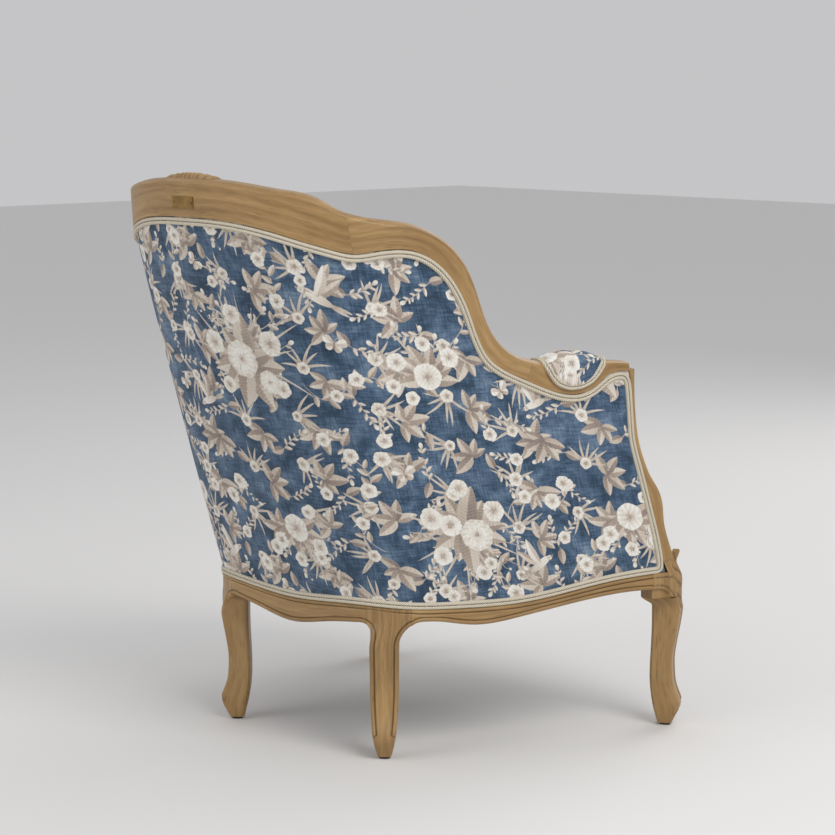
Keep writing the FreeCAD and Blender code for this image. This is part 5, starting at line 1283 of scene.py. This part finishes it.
def panel(count_t, count_v, swell):
    """Grid of the outside cover from the left post to the right."""
    t = np.linspace(0, LAST, count_t)
    ribs = Ribs(t)
    v = np.linspace(0, 1, count_v)[None, :]
    u = ribs.u_foot[:, None] * (1 - v) + ribs.u_head[:, None] * v
    foot, head = ribs.from_foot(0.8, 0), ribs.from_head(0.4, 0)
    points = foot[:, None] * (1 - v[..., None]) + head[:, None] * v[..., None]
    z = points[..., 2]
    last_u = u[-1][None, :]
    square_u = STATIONS[19][0]
    edge_u = post_edges(np.clip(z.ravel(), 301, 635))[:, 1].reshape(z.shape)
    trimmed_u = square_u + (u - square_u) * (edge_u - square_u) / (last_u - square_u)
    near = u > square_u
    u = np.where(near & (t[:, None] >= 19), trimmed_u, u)
    flat = shell(u.ravel(), z.ravel()).reshape(points.shape)
    points = np.where((near & (t[:, None] >= 19))[..., None], flat, points)
    s, q = cloth_place(u, z)
    from_front = np.clip((LAST - t[:, None]) / 2.0, 0, 1)
    rise = swell * (1 - (2 * v - 1) ** 4) * np.sin(from_front * math.pi / 2)
    pulls = (0.35 * np.sin(s / 9.5) * np.exp(-((1 - v) / 0.07) ** 2)
             + 0.3 * np.sin(s / 8.3) * np.exp(-(v / 0.07) ** 2))
    points = points + ribs.out[:, None] * (rise + pulls)[..., None]
    mirrored = points[:0:-1] * (-1, 1, 1)
    return (np.concatenate([mirrored, points]), np.concatenate([-s[:0:-1], s]),
            np.concatenate([q[:0:-1], q]))


cover_points, cover_s, cover_q = panel(440, 400, 3.2)
cover = skin("outside_cover", cover_points, loop=False, **printed(cover_s + 96, cover_q + 40))
fitted(cover, linen, "printed_linen", "frame", "outer_cover")

# Double cords, as on the photo, run round every edge of the covers; the loose cushion has a
# single piping. They are woven cream cord, glued down, with painted shade, broken by speckle, in the
# valley between them.
def cord_finish():
    f = Finish("cream_cord", 0.8, Specular_IOR_Level=0.25)
    place = f.field("cloth", 1)
    twist = f.put("TexWave", 1, {"bands_direction": "DIAGONAL"}, Vector=place, Scale=150.0,
                  Distortion=1.5)
    spots = f.noise(place, 700.0, 2.0)
    tone = f.mix(twist, rgb(172, 160, 138), rgb(226, 218, 200))
    tone = f.mix(f.between(spots, 0.5, 0.7, 0.0, 0.35), tone, rgb(138, 124, 104))
    f.bump(f.math("ADD", twist, spots), 0.5, 0.0006)
    # Painted shade in the valley between the two cords, broken up by speckle.
    speckle = f.between(f.noise(place, 420.0, 1.0), 0.42, 0.52)
    return f.colour(f.mix(f.math("MULTIPLY", f.field("groove"), speckle), tone, rgb(62, 56, 54)))


cord = cord_finish()


def evened(path, out, closed, gap=2.4, blur=2.0):
    """A path and its outward directions at even steps, with the corners rounded."""
    if closed:
        path, out = np.vstack([path, path[:1]]), np.vstack([out, out[:1]])
    along = travel(path)
    places = np.linspace(0, along[-1], int(along[-1] / gap))
    reach = int(4 * blur)
    weights = np.exp(-0.5 * (np.arange(-reach, reach + 1) / blur) ** 2)
    weights /= weights.sum()
    made = []
    for values in (path, out):
        line = np.column_stack([np.interp(places, along, values[:, k]) for k in range(3)])
        if closed:
            line = np.vstack([line[-1 - reach:-1], line[:-1], line[:reach + 1]])
        else:
            line = np.pad(line, ((reach, reach), (0, 0)), mode="reflect", reflect_type="odd")
        made.append(np.column_stack([np.convolve(line[:, k], weights, "valid") for k in range(3)]))
    return made[0], unit(made[1])


def corded(name, path, out, closed, radius=3.0, double=True, sink=0.4, blur=2.0):
    path, out = evened(path, out, closed, blur=blur)
    if closed:
        path, out = np.vstack([path, path[:1]]), np.vstack([out, out[:1]])
    run = unit(np.gradient(path, axis=0))
    if closed:
        run[0] = run[-1] = unit(path[1] - path[-2])
    out = unit(out - run * (out * run).sum(1, keepdims=True))
    across = np.cross(run, out)
    if double:
        section = [(2 * radius, -sink)] + [(radius + radius * math.cos(g),
                                            radius * (1 + math.sin(g)) - sink)
                                           for g in np.linspace(0, 2.75, 9)]
        section += [(0, radius * 0.55)]
        section += [(-b, d) for b, d in section[-2::-1]]
        # Painted shade: the points in the valley between the two cords are marked to be darkened.
        groove = np.array([0.0] * 9 + [1, 1, 1] + [0.0] * 9)
    else:
        section = [(radius * math.cos(g), radius * math.sin(g))
                   for g in np.linspace(0, 2 * math.pi, 15)[:-1]]
        groove = np.zeros(14)
    section = np.array(section)
    rings = path[:, None] + across[:, None] * section[:, :1] + out[:, None] * section[:, 1:]
    around = travel(section)
    along = travel(path)
    cloth = np.stack(np.broadcast_arrays(along[:, None], around[None, :], 0.0), -1) / 1000
    groove = np.broadcast_to(groove, rings.shape[:2])
    return face_out(skin(name, rings, caps=not closed, cloth=cloth, groove=groove))


welt_t = np.linspace(0, LAST, 400)
welt_ribs = Ribs(welt_t)
edge_z = np.linspace(300.0, 622.0, 60)
edge_at = shell(post_edges(np.clip(edge_z, 301, 635))[:, 1], edge_z)
edge_at = edge_at - unit(shell(0.96, 450) - shell(0.94, 450)) * 6.8
low_run, high_run = welt_ribs.from_foot(6.6, 0), welt_ribs.from_head(7.8, 0)
low_keep, high_keep = welt_ribs.u_foot < 0.938, welt_ribs.u_head < 0.940
open_path = np.vstack([(low_run[low_keep][::-1] * (-1, 1, 1))[:-1], low_run[low_keep], edge_at,
                       high_run[high_keep][::-1], (high_run[high_keep] * (-1, 1, 1))[1:],
                       edge_at[::-1] * (-1, 1, 1)])
open_out = np.vstack([(welt_ribs.out[low_keep][::-1] * (-1, 1, 1))[:-1], welt_ribs.out[low_keep],
                      np.repeat(post_out, len(edge_at), 0), welt_ribs.out[high_keep][::-1],
                      (welt_ribs.out[high_keep] * (-1, 1, 1))[1:],
                      np.repeat(post_out * (-1, 1, 1), len(edge_at), 0)])
fitted(corded("outer_welt_cord", open_path, open_out, True), cord, "cream_cord", "frame", "outer_welt")

# The arm pads are stuffed over the arm rails, in the same linen, with a double cord round each.
pad_rows = np.array([(0.744, 656.0, 0.10), (0.752, 641.0, 0.50), (0.768, 626.0, 0.82),
                     (0.794, 618.0, 1.00),
                     (0.822, 619.5, 0.99), (0.846, 627.0, 0.80), (0.864, 641.0, 0.50),
                     (0.876, 656.0, 0.10)])
arm_mid_z = (arm_top_z + arm_low_z) / 2


def over_arm(u, z, depth):
    place = shell(u, arm_mid_z) + outward(0.5, u) * np.reshape(depth, (-1, 1))
    place[:, 2] = z
    return place


def pad_edges(u):
    return np.interp(u, pad_rows[:, 0], pad_rows[:, 1]), np.interp(u, pad_rows[:, 0], pad_rows[:, 2])


def soft_blur(values, count):
    for _ in range(count):
        padded = np.pad(values, 1, mode="edge")
        values = (padded[:-2] + 2 * padded[1:-1] + padded[2:]) / 4
    return values


pad_u = np.linspace(0.744, 0.876, 120)
pad_low, pad_swell = (soft_blur(v, 12) for v in pad_edges(pad_u))
for side, sign in (("right", 1), ("left", -1)):
    turn = np.linspace(0, math.pi, 72)
    rings = []
    for g in turn:
        wide = (24.0 + 6.0 * pad_swell) * np.sign(math.cos(g)) * abs(math.cos(g)) ** 0.62
        high = pad_low + 3 + (660.0 + 17.5 * pad_swell - pad_low - 3) * math.sin(g) ** 0.50
        rings.append(over_arm(pad_u, high, -20.5 + wide))
    rings = np.stack(rings, 1)
    around = np.concatenate([[0], np.cumsum(np.linalg.norm(np.diff(rings[60], axis=0), axis=1))])
    s = np.broadcast_to(plan_distance(pad_u)[:, None], rings.shape[:2]) * sign + 210
    q = np.broadcast_to(around[None, :], rings.shape[:2]) + 380
    pad = face_out(skin("arm_pad_linen_" + side, rings * (sign, 1, 1), **printed(s, q)))
    fitted(pad, linen, "printed_linen", "frame", "arm_pad_" + side)
    outer = over_arm(pad_u, pad_low, wood_proud + 1.0)
    inner = over_arm(pad_u, pad_low, wood_proud - show_t - 1.0)[::-1]
    fore = np.vstack([over_arm(0.8805, 661.0, d) for d in (-8, -16, -24, -32)])
    aft = np.vstack([over_arm(0.7395, 663.0, d) for d in (-32, -24, -16, -8)])
    flat_up = np.repeat([(0.0, 0.0, 1.0)], 4, 0)
    level = outward(0.5, pad_u)
    path = np.vstack([outer, fore, inner, aft]) * (sign, 1, 1)
    out = np.vstack([level, flat_up, -level[::-1], flat_up]) * (sign, 1, 1)
    fitted(corded("arm_pad_cord_" + side, path, out, True, 2.8, blur=1.8), cord, "cream_cord", "frame",
           "arm_pad_welt_" + side)

# The inside back and the inside arms are stuffed pads under the linen, tacked to the tongues at
# the top and pulled down behind the deck. A seam divides them at each side of the back.
pad_d, inside_low_z, inside_drop = 40.2, 325.1, 15.4
BACK_END, POST_END = 7, 20


def ease(u, start, end):
    return smooth_rise(np.abs(u), start, end)


def inside_face(t, v):
    """Points of the inside covers at places t and shares v up the pad, with their depth."""
    ribs = Ribs(t)
    u = ribs.u_foot[:, None] * (1 - v) + ribs.u_head[:, None] * v
    start = (inside_low_z - ribs.foot[:, 2]) / ribs.up[:, 2]
    rise = start[:, None] + (ribs.length - inside_drop - start)[:, None] * v
    flat = ribs.foot[:, None] + ribs.up[:, None] * rise[..., None]
    z = flat[..., 2]
    near = (np.abs(t) > 18)[:, None]
    square_u, last_u = STATIONS[18][0], STATIONS[20][0]
    limit_u = post_edges(np.clip(z.ravel(), 301, 635))[:, 1].reshape(z.shape) - 0.0365
    u = np.where(near, square_u + (u - square_u) * (limit_u - square_u) / (last_u - square_u), u)
    flat = np.where(near[..., None], shell(u.ravel(), z.ravel()).reshape(flat.shape), flat)
    thick = 34 - 14 * ease(ribs.u_foot, 0.26, 0.46)[:, None]
    crown = 20 - 13 * ease(ribs.u_foot, 0.20, 0.46)[:, None]
    end = np.minimum(rise - start[:, None], (ribs.length - inside_drop)[:, None] - rise)
    edge = np.sqrt(1 - np.clip(1 - end / 14.0, 0, 1) ** 2)
    seam = np.minimum(np.abs(np.abs(t) - BACK_END), np.abs(np.abs(t) - POST_END))[:, None]
    closing = np.sqrt(1 - np.clip(1 - seam / 0.15, 0, 1) ** 2)
    depth = pad_d + ((thick + 1.9) * edge + crown * (1 - np.abs(2 * v - 1) ** 2.4)) * closing
    s, q = cloth_place(u, z)
    return ribs, flat, depth, s, q


def inside_pad(name, first, last, count_t, count_v, *replaced):
    even = np.linspace(0, 1, count_t)
    t = first + (last - first) * (even - 0.13 * np.sin(2 * math.pi * even))
    v = np.linspace(0, 1, count_v)[None, :]
    ribs, flat, depth, s, q = inside_face(t, v)
    depth = depth - 0.5 * np.sin(s / 11.0) * np.exp(-((1 - v) / 0.06) ** 2)
    face = flat - ribs.out[:, None] * depth[..., None]
    back = flat[:, [-1, 0]] - ribs.out[:, None] * pad_d
    rings = np.concatenate([face, back], 1)
    rings = rings * np.where(t < 0, -1.0, 1.0)[:, None, None] ** np.array([1, 0, 0])
    s, q = np.concatenate([s, s[:, [-1, 0]]], 1), np.concatenate([q, q[:, [-1, 0]]], 1)
    s = s * np.where(t < 0, -1.0, 1.0)[:, None]
    made = face_out(skin(name, rings, **printed(s + 330, q + 250)))
    fitted(made, linen, "printed_linen", "frame", *replaced)
    return made


inside_pad("inside_back_linen", -BACK_END, BACK_END, 300, 240, "inside_back_cover", "inside_back_pad")
for side, sign in (("right", 1), ("left", -1)):
    inside_pad("inside_arm_linen_" + side, sign * (BACK_END + 0.01), sign * POST_END, 260, 170,
               "inside_arm_cover_" + side, "inside_arm_pad_" + side)

inner_t = np.linspace(-19.6, 19.6, 700)
inner_ribs = Ribs(inner_t)
inner_out = -inner_ribs.out * np.column_stack([inner_ribs.side, np.ones(700), np.ones(700)])
fitted(corded("inside_welt_cord", inner_ribs.from_head(8.6, -36.9), inner_out, False), cord, "cream_cord",
       "frame", "inside_welt")

# The deck under the cushion is a thin pad over hessian and springs. In front it ends at a soft
# lip on the front rail, which a double cord finishes, and a black dust cover closes the underside.
deck_z, lip_low_z, lip_depth = 324.8, seat_top_front_z + 4.3, 40.0


def outline_of(right_points, rounds=2):
    """Closed outline from points of the right half, back to front, with its corners cut round."""
    right = np.vstack(right_points)[:, :2]
    left = right[::-1] * (-1, 1)
    points = np.vstack([right, left[np.abs(left[:, 0]) > 0.01]])
    for _ in range(rounds):
        after = np.roll(points, -1, 0)
        points = np.stack([points * 0.8 + after * 0.2, points * 0.2 + after * 0.8], 1).reshape(-1, 2)
    whole = np.vstack([points, points[:1]])
    along = travel(whole)
    places = np.linspace(0, along[-1], 361)[:-1]
    return np.column_stack([np.interp(places, along, whole[:, k]) for k in range(2)])


def front_run_of(limit, line):
    x = np.linspace(limit, 0, 9)
    return np.column_stack([-x, line(x)])


def filled(name, outline, levels, move=(0, 0), caps=True):
    """Mesh over an outline; levels are rows of (height, scale)."""
    center = np.array((0, (outline[:, 1].max() + outline[:, 1].min()) / 2))
    rings = [np.column_stack([center + (outline - center) * scale, np.full(len(outline), z)])
             for z, scale in levels]
    rings = np.stack(rings)
    return face_out(skin(name, rings, caps=caps,
                         **printed(rings[..., 0] + move[0], rings[..., 1] + move[1])))


deck_side = Ribs(np.arange(0, 19)).at_height(deck_z, -47.1)
deck_outline = outline_of([deck_side, [(-leg_block_x + 5, deck_side[-1, 1] - 55, 0)], np.column_stack([
    front_run_of(leg_block_x - 5, lambda x: front_face_y(x) + 48.0), np.zeros(9)])])
inward = np.linspace(1, 0.02, 120)
deck = filled("deck_linen", deck_outline, [(deck_z - 15.9, w) for w in (0.02, 0.5, 0.99)]
              + [(deck_z - 8, 1.0), (deck_z - 1.5, 0.998)] + [(deck_z - 0.1, w * 0.992) for w in inward],
              (300, 300))
fitted(deck, linen, "printed_linen", "frame", "deck_cover", "deck_pad")

lip_section = rounded([(0.0, lip_low_z, 0.2), (0.0, deck_z, 9.0), (lip_depth, deck_z, 0.4),
                       (lip_depth, deck_z - 12, 0.4), (18.0, 307.4, 0.4), (1.6, 302.0, 0.4),
                       (1.6, lip_low_z, 0.2)], 0.4, 5)
lip_along = travel(lip_section)
lip_at = np.linspace(0, lip_along[-1], 130)
lip_section = np.column_stack([np.interp(lip_at, lip_along, lip_section[:, k]) for k in range(2)])
lip_x = np.linspace(-leg_block_x + 4, leg_block_x - 4, 300)
lip_rings = np.stack([np.column_stack([lip_x, front_face_y(lip_x) + apron_proud + y, np.full(300, z)])
                      for y, z in lip_section], 1)
lip_s = np.broadcast_to(lip_x[:, None], lip_rings.shape[:2])
lip_q = np.broadcast_to(travel(lip_section)[None, :], lip_rings.shape[:2])
fitted(face_out(skin("front_lip_linen", lip_rings, **printed(lip_s + 400, lip_q + 60))), linen,
                 "printed_linen", "frame", "front_lip_cover", "front_lip_pad")
lip_path = np.column_stack([lip_x, front_face_y(lip_x) + apron_proud, np.full(300, lip_low_z + 6.0)])
fitted(corded("front_welt_cord", lip_path, np.repeat([(0.0, -1.0, 0.0)], 300, 0), False), cord,
       "cream_cord",
       "frame", "front_welt")


def felt_finish():
    f = Finish("black_cambric", 0.9)
    place = f.field("cloth", 1)
    f.bump(f.noise(place, 900.0, 2.0), 0.3, 0.0003)
    return f.colour(f.mix(f.noise(place, 260.0, 3.0), rgb(22, 22, 24), rgb(44, 44, 46)))


dust_side = rail_point(np.array([0, 0.08, 0.16, 0.23, 0.27, 0.30, 0.34, 0.42, 0.50, 0.58, 0.66,
                                 0.74, 0.82, 0.875]),
                       0, -38.9)
dust_outline = outline_of([dust_side, [(-leg_block_x + 2, front_inner[3][1], 0),
                                       (-leg_block_x + 2, front_inner[0][1] + 0.4, 0)],
                           np.column_stack([front_run_of(leg_block_x - 6, lambda x: front_face_y(x)
                                                         + 43.9),
                                            np.zeros(9)])], 1)
dust = filled("dust_cover_cloth", dust_outline, [(244.6, w) for w in np.linspace(1, 0.02, 40)],
              caps="last")
fitted(dust, felt_finish(), "black_cambric", "frame", "dust_cover")

# The loose seat cushion is a boxed foam cushion with a crown, piped round its two edges.
cushion_h, cushion_low = 118.0, deck_z + 0.3
mid_z = deck_z + cushion_h / 2
side_t = np.array([0, 1, 2, 3, 5.5, 8, 11, 14, 16, 18.0])
side_ribs = Ribs(side_t)
side_thick = 34 - 14 * ease(side_ribs.u_foot, 0.26, 0.46) + 20 - 13 * ease(side_ribs.u_foot, 0.20, 0.46)
side_line = side_ribs.at_height(mid_z, -(pad_d + side_thick + 8.9 + 1.2 * (side_t == 5.5)))
corner_x = -side_line[-1, 0] + 14
cushion_outline = outline_of([side_line, [(-corner_x, front_face_y(corner_x) + 31, 0),
                                          (-corner_x + 8, front_face_y(corner_x) + 16, 0)],
                              np.column_stack([front_run_of(corner_x - 24,
                                                            lambda x: front_face_y(x) + 9.0),
                                               np.zeros(9)])])
LEVELS = [(0.00, 0.952), (0.09, 0.972), (0.28, 0.994), (0.50, 1.000), (0.72, 0.994), (0.91, 0.972)]
CROWN = [(107.8, 0.972), (118.0, 0.948), (125.9, 0.87), (132.5, 0.73), (136.9, 0.55), (139.3, 0.34),
         (140.0, 0.02)]


def cushion():
    rows = [(cushion_low + 0.05, w) for w in np.linspace(0.02, 0.94, 90)]
    rows += [(cushion_low + 5.0, 0.962), (cushion_low + 0.09 * cushion_h - 0.3, 0.972)]
    band = np.linspace(0.09, 0.91, 60)
    bulge = curve_through(*np.array(LEVELS).T)
    rows += [(cushion_low + b * cushion_h, float(bulge(b)[0, 0])) for b in band]
    top = cushion_low + 0.91 * cushion_h
    crown = curve_through([1 - w for _, w in CROWN], [r for r, _ in CROWN])
    rows += [(cushion_low + float(crown(1 - w)[0, 0]), w)
             for w in np.concatenate([np.linspace(0.971, 0.90, 24), np.linspace(0.895, 0.02, 110)])]
    center = np.array((0, (cushion_outline[:, 1].max() + cushion_outline[:, 1].min()) / 2))
    fine_line = np.vstack([cushion_outline, cushion_outline[:1]])
    along = travel(fine_line)
    places = np.linspace(0, along[-1], 721)[:-1]
    line = np.column_stack([np.interp(places, along, fine_line[:, k]) for k in range(2)])
    rings = np.stack([np.column_stack([center + (line - center) * w, np.full(720, z)]) for z, w in rows])
    heights = np.array([z for z, _ in rows])[:, None]
    pucker = np.exp(-np.abs(heights - top) / 9.0) * np.sin(places / 7.0 + 1.3 * np.sin(places / 41.0))
    pucker = pucker + np.exp(-np.abs(heights - cushion_low - 0.09 * cushion_h)
                             / 9.0) * np.sin(places / 6.6)
    level = unit(line - center)
    on_side = (heights > cushion_low + 6) & (heights < top + 0.3)
    rings[..., :2] += level * (0.7 * pucker * on_side)[..., None]
    rings[..., 2] += np.where(heights > top + 0.5, 0.9 * pucker, 0.0)
    s = np.where(on_side, places + 0 * heights, rings[..., 0] + 260)
    q = np.where(on_side, heights + 0 * places, rings[..., 1] + 240)
    return face_out(skin("seat_cushion_linen", rings, **printed(s, q))), center


seat_cushion, cushion_center = cushion()
fitted(seat_cushion, linen, "printed_linen", "cushion", "cushion_cover")
ring = cushion_center + (cushion_outline - cushion_center) * 0.9885
ring_out = np.column_stack([unit(cushion_outline - cushion_center), np.zeros(len(ring))])
pipings = [corded("piping", np.column_stack([ring, np.full(len(ring), cushion_low + share * cushion_h)]),
                  ring_out, True, 3.4, False) for share in (0.09, 0.91)]
fitted(joined("cushion_piping_cord", pipings), cord, "cream_cord", "cushion", "cushion_piping")

# What stays as built: the hidden beech frame, dowels, springs, webbing and hessian, the bare
# brass plate and its pins, the screws and the glides. Each gets the finish of its own material.
def plain_finish(name, light, dark, scale, roughness, stretch=(1, 1, 1), bump=0.0003, **constants):
    f = Finish(name, roughness, **constants)
    place = f.stretch(f.put("TexCoord", 3), stretch)
    spots = f.noise(place, scale, 4.0, 0.6)
    f.bump(spots, 0.3, bump)
    f.set(f.shader.inputs["Roughness"], f.between(spots, 0.3, 0.7, roughness - 0.08, roughness + 0.08))
    return f.colour(f.mix(f.between(spots, 0.32, 0.68), dark, light))


def woven_finish(name, light, dark, scale):
    f = Finish(name, 0.9)
    place = f.put("TexCoord", 3)
    waves = [f.put("TexWave", 1, {"bands_direction": way}, Vector=place, Scale=scale, Distortion=1.0)
             for way in ("X", "Z", "Y")]
    weave = f.math("MULTIPLY", f.math("ADD", f.math("ADD", waves[0], waves[1]), waves[2]), 0.33)
    f.bump(weave, 0.5, 0.0006)
    return f.colour(f.mix(f.between(weave, 0.25, 0.75), dark, light))


KEPT = {
    "rear_stile rear_arm_liner side_upright front_arm_liner back_liner_rail corner_blocks frame_dowels":
        plain_finish("sawn_beech", rgb(214, 184, 146), rgb(184, 150, 110), 12.0, 0.7, (9, 9, 1.2)),
    "outer_wadding inside_back_pad inside_arm_pad deck_pad front_lip_pad":
        plain_finish("wadding", rgb(236, 232, 222), rgb(214, 208, 196), 90.0, 0.95, bump=0.0015),
    "cushion_core": plain_finish("foam", rgb(232, 222, 186), rgb(208, 194, 150), 420.0, 0.9),
    "back_hessian arm_hessian seat_hessian": woven_finish("hessian", rgb(178, 150, 104),
                                                          rgb(104, 82, 50), 120.0),
    "back_webbing": woven_finish("webbing", rgb(150, 128, 92), rgb(88, 70, 46), 200.0),
    "seat_springs spring_clips corner_screws":
        plain_finish("bright_steel", rgb(176, 176, 178), rgb(128, 128, 132), 60.0, 0.36, Metallic=1.0),
    "crest_plate plate_pins":
        plain_finish("aged_brass", rgb(168, 136, 84), rgb(140, 112, 68), 60.0, 0.42, Metallic=1.0),
    "foot_glides": plain_finish("dark_glide", rgb(46, 42, 38), rgb(26, 24, 22), 180.0, 0.6)}
for names, material in KEPT.items():
    for made in scene.objects:
        if made.type == "MESH" and made.name.startswith(tuple(names.split())) and made.name in nodes:
            made.data.materials.clear()
            made.data.materials.append(material)
